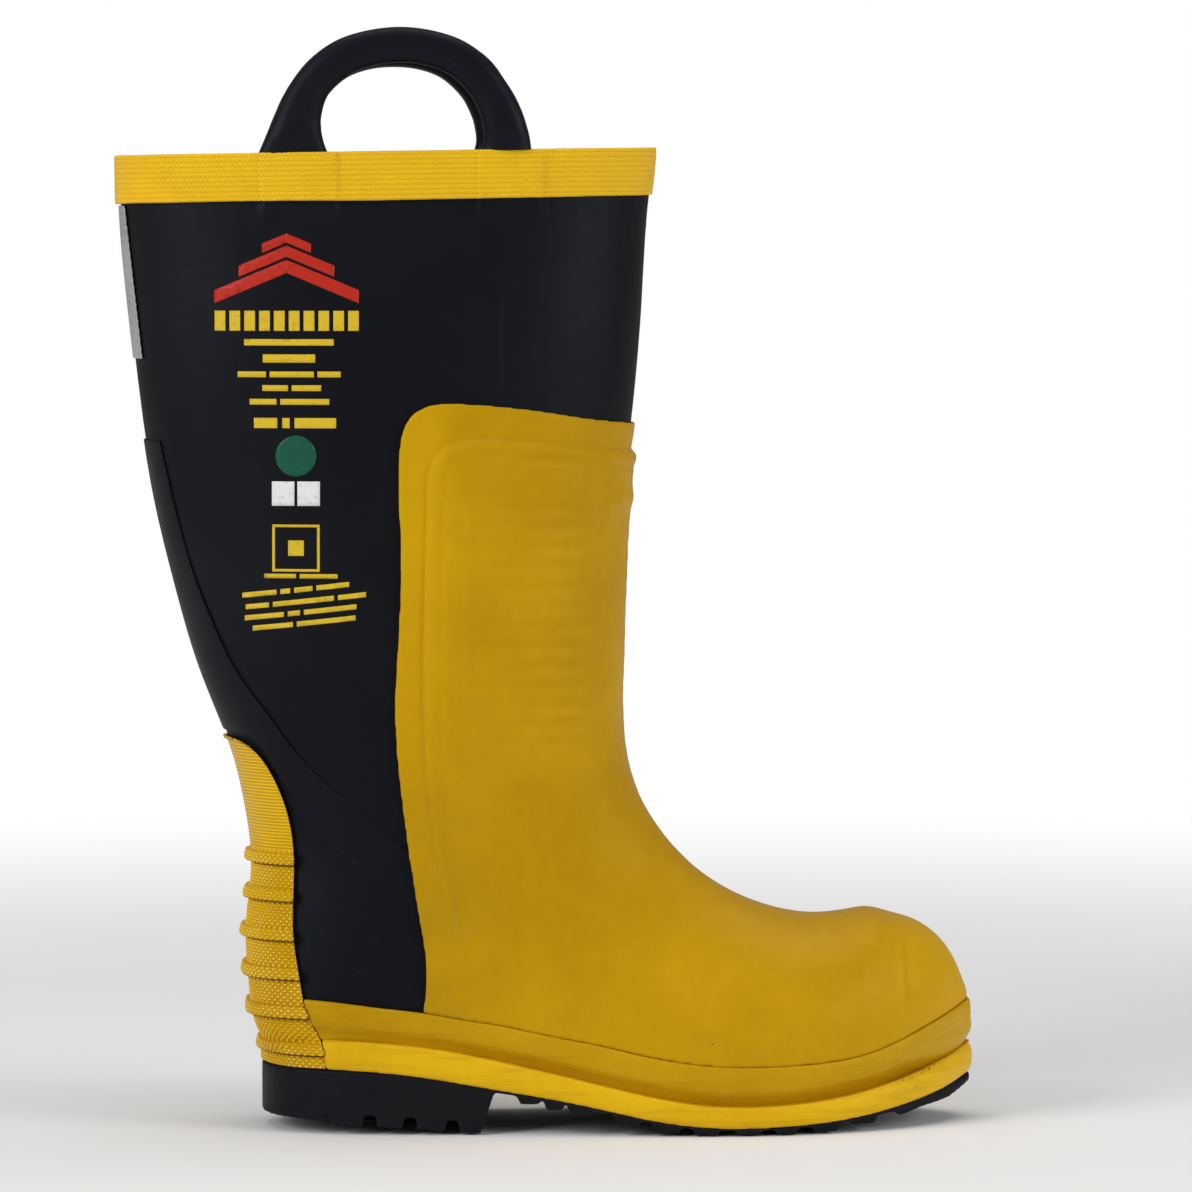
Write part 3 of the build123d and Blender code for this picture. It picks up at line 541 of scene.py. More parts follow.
MATERIALS = {
    "overlay": overlay_rubber(),
    "foxing": foxing_rubber("foxing_rubber", (0.425, 0.232, 0.0030), (0.53, 0.305, 0.0055)),
    # The bead is the foxing rubber in a lighter colour: painted light on its upward-facing round.
    "bead": foxing_rubber("lit_bead_rubber", (0.60, 0.345, 0.0055), (0.74, 0.440, 0.0095)),
    "band": band_rubber(),
    "guard": guard_rubber(),
    "leg": black_rubber(
        "leg_rubber", (0.0048, 0.0048, 0.0062), (0.0100, 0.0100, 0.0112), 0.42, 0.56, 900.0),
    "stay": black_rubber(
        "stay_rubber", (0.0056, 0.0056, 0.0074), (0.0100, 0.0100, 0.0116), 0.38, 0.50, 700.0),
    "handle": black_rubber(
        "handle_rubber", (0.0060, 0.0062, 0.0086), (0.0108, 0.0112, 0.0140), 0.36, 0.50, 1100.0),
    "sole": black_rubber(
        "sole_rubber", (0.0056, 0.0056, 0.0074), (0.0126, 0.0126, 0.0134), 0.48, 0.66, 600.0),
    "soft": black_rubber("inner_rubber", (0.02, 0.02, 0.02), (0.04, 0.04, 0.04), 0.6, 0.8, 600.0),
    "felt": felt_cloth(),
    "weave": woven_cloth(),
    "tape": reflective_tape(),
    "steel": plain_steel(),
    "board": pressed_board(),
    "foam": open_foam("pad_foam", (0.03, 0.032, 0.036), (0.08, 0.084, 0.092)),
    "filler": open_foam("sole_filler", (0.05, 0.05, 0.05), (0.11, 0.11, 0.11)),
}


def dress(obj, key):
    obj.data.materials.clear()
    obj.data.materials.append(MATERIALS[key])


def settle(obj, node, key):
    """Dress a piece of the boot body and let it stand for its CAD node."""
    dress(obj, key)
    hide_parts(node)
    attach(obj, "boot")


def repaint(node, key):
    """Give a kept CAD node one of the materials."""
    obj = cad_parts[node]
    for place in obj.material_slots:
        place.material = MATERIALS[key]


# ---------------------------------------------------------------------------
# Leg, rim band and handles' feet
# ---------------------------------------------------------------------------
def foot_bulge(x, y, z):
    """How far the wall swells over the embedded feet of the handles, mm."""
    depth = rim_z(x) - z
    total = np.zeros(x.shape)
    for low, high in HANDLE_FEET:
        across = step(low - 0.9, low + 1.1, x) * (1.0 - step(high - 1.1, high + 0.9, x))
        down = 1.0 - step(24.5, 29.0, depth)
        total = np.maximum(total, across * down)
    return FOOT_SWELL * total * np.sign(y)


STRAP_UPPER = [(-16.6, 140.0), (-3.9, 129.0), (8.0, 119.6), (24.0, 108.0)]
STRAP_LOWER = [(-24.8, 123.6), (-12.1, 112.5), (-2.2, 104.9), (24.0, 88.0)]


def strap_tail(x, z):
    """Share of the strap's flat end that runs on under the front piece."""
    upper, upper_side = line_distance(STRAP_UPPER, x, z)
    lower, lower_side = line_distance(STRAP_LOWER, x, z)
    below_top = step(-0.9, 0.9, -upper * upper_side)
    above_foot = step(-0.9, 0.9, lower * lower_side)
    past_strap = step(-9.0, -4.0, x - (z - 112.0) * 0.7)
    return below_top * above_foot * past_strap * (1.0 - step(17.0, 22.0, x))


def leg_relief(x, y, z):
    """Small ridges and unevenness of the hand-laid leg, mm along Y."""
    outer = (y < 0).astype(float)
    ridge = hump(48.3, 1.8, x) * hump(330.0, 34.0, z)
    lump = hump(33.9, 6.0, x) * hump(342.8, 6.0, z)
    uneven = 0.22 * waves(x, y, z, 70.0, 5)
    local = outer * (0.40 * ridge + 0.4 * lump)
    return (local + 0.62 * strap_tail(x, z) + uneven) * np.sign(y)


def make_leg():
    """Black leg with the bulges of the handle feet."""
    leg = remesh(copy_node("upper_rubber", "leg_and_upper"), 1.15, 5)
    points = read_points(leg)
    x, y, z = (points / MM).T
    on_leg = step(60.0, 110.0, z) * step(4.0, 14.0, np.abs(y))
    points[:, 1] += (foot_bulge(x, y, z) + leg_relief(x, y, z) * on_leg) * MM
    write_points(leg, points)
    settle(leg, "upper_rubber", "leg")


def make_band():
    """Rim binding with ribs, foot bulges and a hand-cut lower edge, drawn
    in a little at the front."""
    band = remesh(copy_node("top_band", "rim_band"), 0.62, 3)
    points = read_points(band)
    normals = read_normals(band)
    x, y, z = (points / MM).T
    depth = rim_z(x) - z
    outward = step(0.3, 0.8, normals[:, 0] * np.sign(x) * 0.6 + np.abs(normals[:, 1]) * 0.9)
    ribs = 0.11 * np.sin(2 * math.pi * depth / BAND_RIB) * outward * step(1.0, 2.5, depth)
    points += normals * (ribs * MM)[:, None]
    points[:, 1] += foot_bulge(x, y, z) * MM
    points[:, 0] -= BAND_INSET * step(30.0, 85.0, x) * MM
    ragged = 0.35 * waves(x, y, 0 * z, 60.0, 8) * step(12.0, 20.0, depth)
    points[:, 2] += ragged * MM
    write_points(band, points)
    settle(band, "top_band", "band")


# ---------------------------------------------------------------------------
# Shin and vamp overlay
# ---------------------------------------------------------------------------
PAD_LINE = [
    (120.0, 277.6), (108.0, 279.2), (86.0, 281.6), (57.3, 284.2), (40.9, 285.6), (32.7, 285.0),
    (26.6, 282.4), (22.6, 277.4), (21.0, 270.5), (20.6, 250.0), (19.6, 215.0), (19.5, 180.2),
    (20.6, 150.7), (24.3, 118.6), (29.2, 92.0), (33.8, 74.3), (35.5, 64.0),
]
INNER_PAD_LINE = [(36.5, 262.0), (36.0, 240.0), (35.6, 210.0), (36.6, 188.0)]
ANKLE_CREASE = [(47.0, 108.0), (51.0, 92.0), (54.5, 76.0), (57.0, 60.0)]
SHIN_SLIM = [
    (200.0, 0.4), (223.0, 1.0), (242.0, 1.2), (255.0, 1.1), (261.0, 1.2), (268.6, 1.2),
    (277.7, 1.6), (284.0, 0.9), (291.0, 0.5), (302.0, 0.4),
]
SHEET_THICK = 2.38
PAD_THICK = 2.2
FOLD_PITCH = 8.2


def pad_thickness(x, z):
    """Thickness of the front piece: a shin pad that fades into the instep."""
    distance, side = line_distance(PAD_LINE, x, z)
    inside = step(-1.6, 2.6, side * distance)
    return SHEET_THICK + PAD_THICK * inside * step(96.0, 178.0, z)


def cord(distance, half):
    """Round ridge of height 1 along a line, half as wide as given in mm."""
    return np.clip(1.0 - (distance / half) ** 2, 0.0, 1.0)


def overlay_relief(x, y, z):
    """Raised pad outline, creases, corrugations and toe cap, mm outward."""
    distance, side = line_distance(PAD_LINE, x, z)
    inside = side * distance
    bead = 1.05 * cord(distance, 2.0) * step(66.0, 84.0, z)
    dip = 0.50 * hump(5.0, 3.0, inside) * step(90.0, 120.0, z)
    inner, _ = line_distance(INNER_PAD_LINE, x, z)
    faint = 0.40 * cord(inner, 2.6)
    corrugated = step(8.0, 26.0, inside) * step(146.0, 176.0, z) * (1.0 - step(255.0, 272.0, z))
    corrugated = corrugated * (1.0 - 0.7 * step(84.0, 98.0, x))
    folds = 0.17 * np.sin(2 * math.pi * z / FOLD_PITCH + 0.02 * x) * corrugated
    knee = (0.9 * hump(277.0, 7.0, z) + 0.9 * hump(261.0, 7.0, z)) * step(84.0, 101.0, x)
    cap_rise = 0.6 * hump(206.0, 11.0, x) * step(60.0, 80.0, z)
    cap_rear = -1.5 * hump(184.0, 34.0, x) * step(62.0, 82.0, z)
    cap_ridge = 0.55 * hump(217.0, 3.4, x) * step(34.0, 44.0, z) * (1.0 - step(72.0, 80.0, z))
    slim = height_at(SHIN_SLIM, z) * step(68.0, 100.0, x) * step(185.0, 215.0, z)
    crease, _ = line_distance(ANKLE_CREASE, x, z)
    tuck = 0.45 * cord(crease, 2.4) * step(52.0, 66.0, z)
    uneven = 0.20 * waves(x, y, z, 55.0, 3) + 0.06 * waves(x, y, z, 16.0, 4)
    raised = bead + faint + folds + knee + cap_rise + cap_ridge + tuck
    return raised + cap_rear - dip - slim + uneven


def level_pad(sheet):
    """Give the sheet its thickness anew, so that the pad fades out downward."""
    points = read_points(sheet)
    feet, thick, away = nearest_on(LEG_SURFACE, points)
    facing = np.sum(away * read_normals(sheet), axis=1)
    x, y, z = (points / MM).T
    wanted = pad_thickness(x, z)
    padded = np.maximum(step(2.42, 2.6, thick), step(2.40, 2.6, wanted))
    outer_face = thick + (wanted - thick) * padded * step(1.2, 1.9, thick)
    inner_face = np.minimum(thick, 0.45 * wanted)
    new_thick = inner_face + (outer_face - inner_face) * step(-0.6, -0.1, facing)
    write_points(sheet, feet + away * (new_thick * MM)[:, None])
    soften(sheet, 5)
    bake_modifiers(sheet)


def make_overlay():
    """Front piece: shin, instep and toe in one moulded sheet."""
    sheet = remesh(copy_node("vamp_overlay", "shin_and_vamp"), 0.85, 4)
    level_pad(sheet)
    points = read_points(sheet)
    normals = read_normals(sheet)
    x, y, z = (points / MM).T
    thick, away = nearest_on(LEG_SURFACE, points)[1:]
    outer = step(1.2, 2.0, thick) * step(-0.4, 0.0, np.sum(away * normals, axis=1))
    points += normals * (overlay_relief(x, y, z) * outer * MM)[:, None]
    write_points(sheet, points)
    settle(sheet, "vamp_overlay", "overlay")


# ---------------------------------------------------------------------------
# Foxing, bead, heel guard, stay and tape
# ---------------------------------------------------------------------------
FOXING_TOP = [
    (-31.8, 55.0), (-16.6, 53.8), (-0.2, 51.7), (16.3, 49.7), (32.7, 46.8), (49.1, 44.2),
    (65.5, 40.7), (90.1, 36.0), (106.6, 32.2), (123.0, 29.3), (139.4, 27.7), (155.8, 27.5),
    (172.2, 27.9), (188.7, 29.1), (205.1, 32.2), (221.5, 38.3), (237.9, 45.2), (254.0, 53.0),
]
BEAD_TOP = [
    (-24.6, 38.2), (8.0, 36.1), (24.5, 34.0), (40.9, 30.9), (57.3, 27.3), (73.7, 23.6),
    (90.1, 19.7), (106.6, 15.9), (123.0, 12.8), (139.4, 11.0), (155.8, 10.8), (172.2, 11.6),
    (188.7, 13.4), (205.1, 16.6), (221.5, 20.9), (237.9, 26.4), (254.0, 34.2),
]
BEAD_FOOT = [
    (-22.4, 26.4), (8.0, 24.6), (24.5, 22.3), (40.9, 19.4), (57.3, 16.7), (73.7, 13.9),
    (90.1, 10.6), (106.6, 7.0), (123.0, 4.3), (139.4, 3.0), (155.8, 2.9), (172.2, 3.5),
    (188.7, 4.8), (205.1, 7.1), (221.5, 10.4), (237.9, 14.8), (254.0, 22.0),
]


def height_at(line, x):
    return np.interp(x, [p[0] for p in line], [p[1] for p in line])


def outwardness(x, y, normals):
    """1 where a face of the foot looks away from the boot's middle."""
    away_x = x - np.clip(x, -15.0, 205.0)
    length = np.maximum(np.hypot(away_x, y), 1e-6)
    facing = (normals[:, 0] * away_x + normals[:, 1] * y) / length
    return step(0.25, 0.65, facing)


def upper_foxing_relief(x, y, z):
    """Flat above, hollowed above the bead, dragged along, mm outward."""
    low = height_at(BEAD_TOP, x)
    share = (z - low) / (height_at(FOXING_TOP, x) - low)
    hollow = -0.9 * hump(0.16, 0.30, share)
    crown = 0.35 * hump(0.66, 0.40, share)
    grooves = 0.05 * np.sin(share * 47.0 + 0.5 * waves(x, y, z, 60.0, 31)) * step(0.05, 0.3, share)
    tip = 2.0 * step(218.0, 242.0, x) * (1.0 - step(0.15, 0.62, share))
    return hollow + crown + grooves + tip + 0.13 * waves(x, y, z, 38.0, 6)


def lower_foxing_relief(x, y, z):
    """Full round bead, mm outward."""
    low = height_at(BEAD_FOOT, x)
    share = (z - low) / (height_at(BEAD_TOP, x) - low)
    crown = 0.9 * (1.0 - (2.0 * np.clip(share, 0.0, 1.0) - 0.9) ** 2) - 0.35
    tip = 1.3 * step(200.0, 236.0, x) * step(0.58, 1.0, share)
    return crown - tip + 0.12 * waves(x, y, z, 38.0, 7)


def guard_relief(x, y, z):
    """Kick ribs that lean out downward and drop off sharply, with raised
    diamonds between them, mm outward."""
    total = 0.10 * waves(x, y, z, 30.0, 12)
    for height in KICK_RIBS:
        over = z - height
        total += 0.75 * step(-2.5, -1.9, over) * (1.0 - step(-1.2, 2.6, over))
        total -= 0.55 * hump(-3.0, 0.9, over)
    turn = np.arctan2(y, HEEL_MIDDLE - x) * HEEL_RADIUS * math.pi / HEEL_CELL
    rise = z * math.pi / HEEL_ROW
    cells = np.abs(np.sin(turn + rise) * np.sin(turn - rise))
    total += 0.42 * (cells - 0.4) * (1.0 - step(114.0, 116.0, z))
    thin = 1.3 * step(128.0, 160.0, z)
    return total - thin


def plain_relief(x, y, z):
    return 0.07 * waves(x, y, z, 30.0, 10)


HEEL_RISE = [
    (-60.0, -4.6), (-52.0, -4.4), (-46.0, -2.6), (-37.0, 0.2), (-28.0, 2.2), (-19.0, 2.9),
    (-10.0, 3.2), (8.0, 2.6), (25.0, 1.35), (41.0, 0.25), (46.0, 0.0),
]
TOE_DROP = [(213.0, 0.0), (216.0, -2.2), (226.0, -1.5), (238.0, -2.6), (249.0, -1.0), (256.0, -0.5)]


def tread_lift(x, z):
    """The heel's tread climbs toward the rear and the toe piece is
    thicker, mm upward."""
    heel = height_at(HEEL_RISE, x) * (1.0 - step(8.0, 24.0, z))
    toe = height_at(TOE_DROP, x) * step(0.4, 1.6, height_at(BEAD_FOOT, x) - z)
    return heel + toe


def soft_copy(node, name, key, voxel, rounds, relief, close_up=None, lift=None):
    """Remeshed copy of a CAD node with rounded edges and its own relief.
    close_up presses the upper edge against the strip above it. lift gives
    the height in mm by which a point at (x, z) is raised."""
    obj = remesh(copy_node(node, name), voxel, rounds)
    points = read_points(obj)
    normals = read_normals(obj)
    x, y, z = (points / MM).T
    outer = outwardness(x, y, normals)
    points += normals * (relief(x, y, z) * outer * MM)[:, None]
    if close_up:
        line_foot, line_top, reach = close_up
        low = height_at(line_foot, x)
        share = (z - low) / (height_at(line_top, x) - low)
        points[:, 2] += reach * step(0.55, 1.0, share) * MM
    if lift:
        points[:, 2] += lift(x, z) * MM
    write_points(obj, points)
    settle(obj, node, key)


def make_foxing():
    soft_copy("upper_foxing", "upper_foxing_band", "foxing", 0.75, 4,
              upper_foxing_relief, close_up=(BEAD_TOP, FOXING_TOP, 0.45))


def make_bead():
    soft_copy("lower_foxing", "lower_foxing_bead", "bead", 0.75, 6,
              lower_foxing_relief, close_up=(BEAD_FOOT, BEAD_TOP, 0.75))


def make_guard():
    soft_copy("heel_counter_guard", "heel_guard", "guard", 0.52, 2, guard_relief)


def make_outsole():
    soft_copy("outsole", "lugged_outsole", "sole", 0.8, 2, plain_relief,
              lift=tread_lift)


STRAP_FOOT = 0.3
STRAP_SHARE = 0.60


def make_strap():
    """Ankle strap, thinned so that only a faint raised edge shows."""
    strap = remesh(copy_node("ankle_stay", "ankle_strap"), 0.6, 5)
    points = read_points(strap)
    feet, thick, away = nearest_on(LEG_SURFACE, points)
    flat = np.where(thick > STRAP_FOOT, STRAP_FOOT + (thick - STRAP_FOOT) * STRAP_SHARE, thick)
    write_points(strap, feet + away * (flat * MM)[:, None])
    settle(strap, "ankle_stay", "stay")


TAPE_EDGE_TOP = (-104.6, 383.0)
TAPE_EDGE_FOOT = (-97.4, 319.5)


def make_tape():
    """Reflective tape, cut back along its slanting front edges."""
    tape = copy_node("reflective_strip", "reflective_tape")
    run_x = TAPE_EDGE_FOOT[0] - TAPE_EDGE_TOP[0]
    run_z = TAPE_EDGE_FOOT[1] - TAPE_EDGE_TOP[1]
    bm = bmesh.new()
    bm.from_mesh(tape.data)
    bmesh.ops.remove_doubles(bm, verts=bm.verts, dist=1e-6)
    geometry = bm.verts[:] + bm.edges[:] + bm.faces[:]
    point = (TAPE_EDGE_TOP[0] * MM, 0.0, TAPE_EDGE_TOP[1] * MM)
    across = (-run_z, 0.0, run_x)
    bmesh.ops.bisect_plane(bm, geom=geometry, plane_co=point, plane_no=across, clear_outer=True)
    rim = [edge for edge in bm.edges if edge.is_boundary]
    bmesh.ops.holes_fill(bm, edges=rim)
    bm.to_mesh(tape.data)
    bm.free()
    remesh(tape, 0.4, 2)
    settle(tape, "reflective_strip", "tape")


# ---------------------------------------------------------------------------
# Pull handles
# ---------------------------------------------------------------------------
HANDLE_OUTER = [
    (-49.6, -0.6), (-47.6, 4.0), (-45.6, 9.0), (-42.6, 16.0), (-37.5, 26.5), (-28.0, 38.2),
    (-14.0, 46.9), (7.0, 50.6), (28.0, 47.2), (43.0, 38.5), (52.5, 26.5), (58.0, 16.0),
    (60.4, 9.0), (61.6, 4.0), (62.2, -0.6),
]
HANDLE_INNER = [
    (-21.0, -0.6), (-22.8, 4.0), (-23.8, 9.0), (-23.6, 15.0), (-20.5, 23.5), (-12.5, 31.0),
    (-3.0, 34.6), (7.0, 35.7), (17.5, 34.8), (28.0, 30.8), (36.0, 23.5), (40.6, 15.0),
    (42.2, 9.0), (42.6, 4.0), (41.6, -0.6),
]
HANDLE_HALF = 6.0
HANDLE_RINGS = 120
HANDLE_ROUND = 28
HANDLE_SQUARE = 0.80
HANDLE_Y = 47.5


def smooth_chain(points, count):
    """Catmull-Rom resampling of a chain of 2-D points."""
    path = np.array(points, dtype=float)
    padded = np.vstack([2 * path[0] - path[1], path, 2 * path[-1] - path[-2]])
    places = np.linspace(0.0, len(path) - 1.0, count)
    result = []
    for place in places:
        k = min(int(place), len(path) - 2)
        t = place - k
        a, b, c, d = padded[k:k + 4]
        value = 2 * b + (c - a) * t + (2 * a - 5 * b + 4 * c - d) * t ** 2
        value = value + (3 * b - a - 3 * c + d) * t ** 3
        result.append(0.5 * value)
    return np.array(result)


def handle_section(outer, inner, side):
    """Corners of one squarish cross-section with its parting ridge."""
    middle = (outer + inner) / 2
    reach = (outer - inner) / 2
    thick = HANDLE_HALF * (0.80 + 0.20 * step(0.0, 9.0, middle[1]))
    corners = []
    for k in range(HANDLE_ROUND):
        angle = 2 * math.pi * k / HANDLE_ROUND
        c, s = math.cos(angle), math.sin(angle)
        u = math.copysign(abs(c) ** HANDLE_SQUARE, c)
        v = math.copysign(abs(s) ** HANDLE_SQUARE, s)
        ridge = 0.55 * math.exp(-((u - 0.42) / 0.10) ** 2) if abs(v) > 0.2 else 0.0
        x = middle[0] + reach[0] * u
        y = side * HANDLE_Y + (thick + ridge) * v
        z = rim_z(x) + middle[1] + reach[1] * u
        corners.append(Vector((x, y, z)) * MM)
    return corners


def handle_mesh(side, name):
    """Skin over the loop's cross-sections, closed at both ends."""
    outer = smooth_chain(HANDLE_OUTER, HANDLE_RINGS)
    inner = smooth_chain(HANDLE_INNER, HANDLE_RINGS)
    bm = bmesh.new()
    rings = []
    for far, near in zip(outer, inner):
        rings.append([bm.verts.new(corner) for corner in handle_section(far, near, side)])
    for first, second in zip(rings, rings[1:]):
        for j in range(HANDLE_ROUND):
            k = (j + 1) % HANDLE_ROUND
            bm.faces.new((first[j], first[k], second[k], second[j]))
    bm.faces.new(rings[0][::-1])
    bm.faces.new(rings[-1])
    bmesh.ops.recalc_face_normals(bm, faces=bm.faces)
    mesh = bpy.data.meshes.new(name)
    bm.to_mesh(mesh)
    bm.free()
    return mesh


def make_handle(side, name, node):
    """One moulded loop that bends just above the rim."""
    handle = link(bpy.data.objects.new(name, handle_mesh(side, name)))
    finer = handle.modifiers.new("Finer", "SUBSURF")
    finer.levels = 1
    bake_modifiers(handle)
    shade_smooth(handle)
    points = read_points(handle)
    normals = read_normals(handle)
    x, y, z = (points / MM).T
    points += normals * ((0.10 * waves(x, y, z, 22.0, 21)) * MM)[:, None]
    write_points(handle, points)
    dress(handle, "handle")
    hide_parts(node)
    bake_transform(handle)


# ---------------------------------------------------------------------------
# Generic printed marks on the outer side of the leg
# ---------------------------------------------------------------------------
PRINT_PITCH = 2.0
PRINT_OUT = 0.16
PRINT_FILM = 0.12


class Printer:
    """Lays thin flat shapes, given in (x, z) mm, onto the leg's outer face."""

    def surface_y(self, x, z):
        hit = LEG_SURFACE.ray_cast(Vector((x, -0.2, z)), Vector((0, 1, 0)))[0]
        return hit.y if hit else -0.045

    def lay(self, name, shapes, material):
        bm = bmesh.new()
        for shape in shapes:
            bm.faces.new([bm.verts.new((x * MM, 0.0, z * MM)) for x, z in shape])
        self.cut(bm, PRINT_PITCH)
        for vertex in bm.verts:
            x, z = vertex.co.x, vertex.co.z
            lift = leg_relief(np.array([x / MM]), np.array([-50.0]), np.array([z / MM]))[0]
            vertex.co.y = self.surface_y(x, z) + (lift - PRINT_OUT) * MM
        mesh = bpy.data.meshes.new(name)
        bm.normal_update()
        bmesh.ops.recalc_face_normals(bm, faces=bm.faces)
        bm.to_mesh(mesh)
        bm.free()
        obj = link(bpy.data.objects.new(name, mesh))
        film = obj.modifiers.new("Film", "SOLIDIFY")
        film.thickness = PRINT_FILM * MM
        film.offset = 0.0
        bake_modifiers(obj)
        shade_smooth(obj)
        obj.data.materials.append(material)
        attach(obj, "boot")

    def cut(self, bm, pitch):
        """Slice flat shapes on a grid so that they can follow the leg."""
        xs = [v.co.x for v in bm.verts]
        zs = [v.co.z for v in bm.verts]
        for low, high, normal in ((min(xs), max(xs), (1, 0, 0)), (min(zs), max(zs), (0, 0, 1))):
            place = low + pitch * MM
            while place < high:
                point = tuple(n * place for n in normal)
                geometry = bm.verts[:] + bm.edges[:] + bm.faces[:]
                bmesh.ops.bisect_plane(bm, geom=geometry, plane_co=point, plane_no=normal)
                place += pitch * MM


def box_shape(x_low, x_high, z_low, z_high):
    return [(x_low, z_low), (x_high, z_low), (x_high, z_high), (x_low, z_high)]


def dashes(x_low, z, lengths, tall, gap=1.5, rise=0.0):
    """A row of plain bars that stands where a line of small print was."""
    shapes = []
    x = x_low
    for length in lengths:
        z_a = z + rise * (x - x_low)
        z_b = z + rise * (x + length - x_low)
        shapes.append([(x, z_a), (x + length, z_b), (x + length, z_b + tall), (x, z_a + tall)])
        x += length + gap
    return shapes


def chevron(x, z, half, tall, thick):
    left = [(x - half, z), (x, z + tall), (x, z + tall + thick), (x - half, z + thick)]
    right = [(x, z + tall), (x + half, z), (x + half, z + thick), (x, z + tall + thick)]
    return [left, right]


def frame_shape(x, z, half, thick):
    """Four sides of an upright square outline."""
    far = half + thick
    return [
        box_shape(x - far, x + far, z + half, z + far),
        box_shape(x - far, x + far, z - far, z - half),
        box_shape(x - far, x - half, z - half, z + half),
        box_shape(x + half, x + far, z - half, z + half),
    ]


def disc_shape(x, z, radius, corners=28):
    turns = [2 * math.pi * k / corners for k in range(corners)]
    return [(x + radius * math.cos(turn), z + radius * math.sin(turn)) for turn in turns]


def make_prints():
    """Plain bars and blocks in the colours and places of the printing."""
    printer = Printer()
    yellow = print_ink("ink_yellow", (0.42, 0.27, 0.01), (0.64, 0.44, 0.02))
    red = print_ink("ink_red", (0.24, 0.014, 0.006), (0.46, 0.022, 0.010))
    green = print_ink("ink_green", (0.004, 0.040, 0.024), (0.006, 0.085, 0.048))
    white = print_ink("ink_white", (0.42, 0.43, 0.42), (0.72, 0.73, 0.72))
    red_shapes = chevron(-38.2, 342.8, 29.5, 12.4, 5.4) + chevron(-38.2, 353.6, 19.5, 8.2, 4.6)
    red_shapes += chevron(-38.2, 363.4, 10.0, 4.2, 3.8)
    printer.lay("print_red", red_shapes, red)
    bright = []
    for k in range(10):
        bright.append(box_shape(-67.6 + 6.05 * k, -63.2 + 6.05 * k, 331.6, 339.8))
    bright += [box_shape(-55.6, -19.0, 325.6, 328.2), box_shape(-48.0, -26.6, 318.6, 322.0)]
    bright += dashes(-58.2, 312.6, (11.5, 18.0, 9.5), 2.4)
    bright += dashes(-48.2, 307.0, (10.5, 12.0), 2.4)
    bright += dashes(-53.4, 301.4, (11.0, 20.0), 2.4)
    bright += dashes(-51.6, 291.8, (9.5, 3.0, 17.0), 4.2, 2.0)
    bright += frame_shape(-34.6, 242.6, 8.6, 1.1) + [box_shape(-37.8, -31.4, 239.4, 245.8)]
    bright += dashes(-47.6, 230.2, (13.0, 15.5), 1.8)
    rise = 0.113
    bright += dashes(-56.6, 221.8, (14.0, 4.0, 7.5, 13.5), 2.1, 1.6, rise)
    bright += dashes(-55.2, 217.0, (9.5, 25.0, 11.5), 2.1, 1.6, rise)
    bright += dashes(-55.6, 212.4, (16.0, 5.0, 21.5), 2.1, 1.6, rise)
    bright += dashes(-52.4, 208.2, (16.5, 24.0), 2.1, 1.6, rise)
    printer.lay("print_yellow", bright, yellow)
    printer.lay("print_green", [disc_shape(-34.6, 280.4, 8.4)], green)
    whites = [box_shape(-44.4, -35.2, 260.0, 270.0), box_shape(-34.0, -24.8, 260.0, 270.0)]
    printer.lay("print_white", whites, white)


# ---------------------------------------------------------------------------
# Stage
# ---------------------------------------------------------------------------
FLOOR_RADIUS = 9.0
FLOOR_GAP = 0.0004


def make_floor():
    """Pale round floor that fades into the pale surroundings."""
    bm = bmesh.new()
    bmesh.ops.create_circle(bm, cap_ends=True, radius=FLOOR_RADIUS, segments=96)
    mesh = bpy.data.meshes.new("floor")
    bm.to_mesh(mesh)
    bm.free()
    floor = link(bpy.data.objects.new("floor", mesh))
    floor.location = (0.08, 0.0, -FLOOR_GAP)
    s = Shader("floor_paper")
    color = s.mix(s.noise(3.0, 2.0), (0.84, 0.84, 0.84), (0.87, 0.87, 0.87))
    s.bump(s.noise(400.0, 2.0), 0.0001, 0.1)
    paper = s.finish(color, 0.9, specular=0.1)
    tree = paper.node_tree
    spread = s.add("ShaderNodeVectorMath")
    spread.operation = "LENGTH"
    s.join(s.place, spread.inputs[0])
    far = s.ramp(spread.outputs["Value"], 0.45, 1.5)
    seen = s.add("ShaderNodeLightPath").outputs["Is Camera Ray"]
    glow = s.add("ShaderNodeEmission")
    glow.inputs["Strength"].default_value = 1.0
    blend = s.add("ShaderNodeMixShader")
    s.join(s.calc("MULTIPLY", far, seen), blend.inputs[0])
    s.join(s.surface.outputs[0], blend.inputs[1])
    s.join(glow.outputs[0], blend.inputs[2])
    s.join(blend.outputs[0], tree.nodes["Material Output"].inputs["Surface"])
    floor.data.materials.append(paper)


def add_light(name, place, target, size, power, tint=(1.0, 1.0, 1.0)):
    data = bpy.data.lights.new(name, "AREA")
    data.shape = "RECTANGLE"
    data.size = size[0]
    data.size_y = size[1]
    data.energy = power
    data.color = tint
    lamp = link(bpy.data.objects.new(name, data))
    lamp.location = place
    way = Vector(target) - Vector(place)
    lamp.rotation_euler = way.to_track_quat("-Z", "Y").to_euler()


SKY_LIGHT = 0.27
SKY_SEEN = 1.0


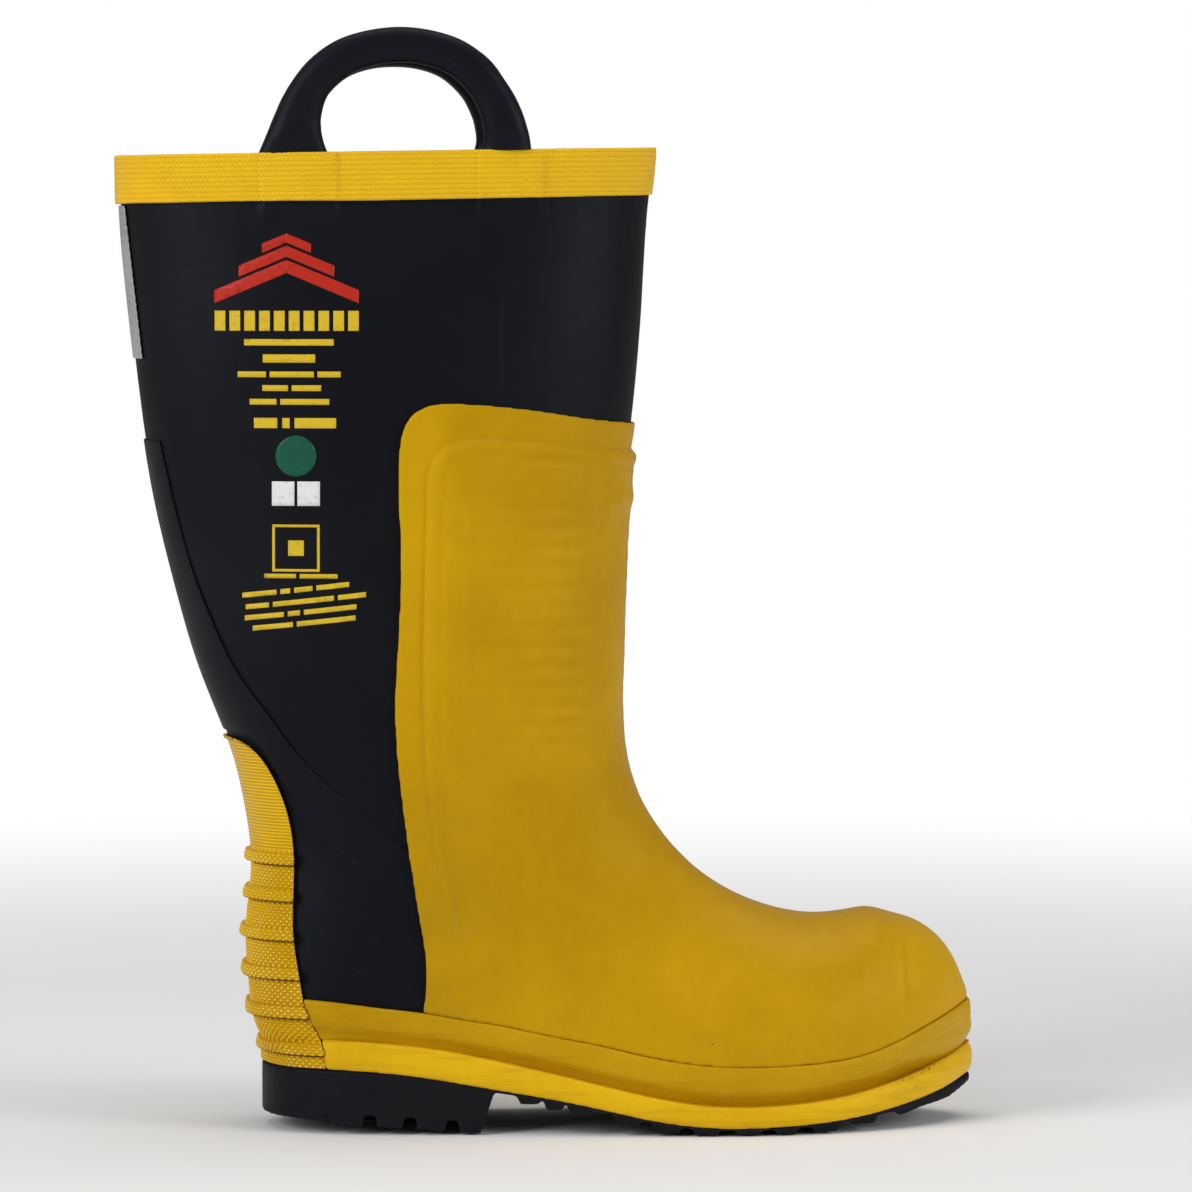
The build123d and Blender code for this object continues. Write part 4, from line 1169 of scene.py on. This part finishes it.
def make_lights():
    """Three soft lamps and a white sky, dimmer as a light than as seen."""
    add_light("key", (-2.3, -1.7, 1.4), (0.0, 0.0, 0.24), (1.5, 1.7), 57.0)
    add_light("side", (2.4, -1.4, 1.0), (0.1, 0.0, 0.2), (1.3, 1.5), 33.0)
    add_light("top", (0.1, 0.1, 2.4), (0.1, 0.0, 0.2), (2.2, 1.4), 22.0)
    world = bpy.data.worlds.new("studio")
    world.use_nodes = True
    nodes = world.node_tree.nodes
    sky = nodes["Background"]
    sky.inputs[0].default_value = (1.0, 1.0, 1.0, 1.0)
    seen = nodes.new("ShaderNodeLightPath")
    power = nodes.new("ShaderNodeMapRange")
    power.inputs[3].default_value = SKY_LIGHT
    power.inputs[4].default_value = SKY_SEEN
    world.node_tree.links.new(seen.outputs["Is Camera Ray"], power.inputs[0])
    world.node_tree.links.new(power.outputs[0], sky.inputs[1])
    bpy.context.scene.world = world
    bpy.context.scene.view_settings.view_transform = "Standard"


SENSOR = 36.0
PICTURE_WIDTH = 1192.0 / 2394.0


def make_camera():
    """Long lens, a little toward the heel and a little above. The picture
    spans PICTURE_WIDTH metres at the boot."""
    aim = Vector((0.091, 0.0, 0.2198))
    turn = math.radians(3.0)
    down = math.radians(3.3)
    away = 2.9
    level = Vector((math.sin(turn), math.cos(turn), 0.0)) * math.cos(down)
    way = level - Vector((0.0, 0.0, math.sin(down)))
    data = bpy.data.cameras.new("camera")
    data.sensor_width = SENSOR
    data.lens = SENSOR * away / PICTURE_WIDTH
    data.clip_end = 30.0
    camera = link(bpy.data.objects.new("camera", data))
    camera.location = aim - way * away
    camera.rotation_euler = way.to_track_quat("-Z", "Y").to_euler()
    bpy.context.scene.camera = camera


# ---------------------------------------------------------------------------
# Everything
# ---------------------------------------------------------------------------
KEPT_NODES = {
    "felt_lining": "felt",
    "interlining": "weave",
    "counter_stiffener": "soft",
    "steel_toe_cap": "steel",
    "toe_cap_edge_strip": "soft",
    "insole_board": "board",
    "bottom_filler": "filler",
    "steel_midsole": "steel",
    "shank": "steel",
    "midsole_rubber": "soft",
    "heel_filler": "filler",
    "shin_pad": "foam",
    "footbed": "foam",
    "footbed_cover": "felt",
    "handle_foot_lateral_rear": "handle",
    "handle_foot_lateral_front": "handle",
    "handle_foot_medial_rear": "handle",
    "handle_foot_medial_front": "handle",
}

LEG_SURFACE = surface_of("upper_rubber")
make_leg()
make_band()
make_overlay()
make_foxing()
make_bead()
make_guard()
make_outsole()
make_strap()
make_tape()
make_handle(-1, "handle_loop_lateral", "pull_handle_lateral")
make_handle(1, "handle_loop_medial", "pull_handle_medial")
make_prints()
for kept_node, material_key in KEPT_NODES.items():
    repaint(kept_node, material_key)
make_floor()
make_lights()
make_camera()
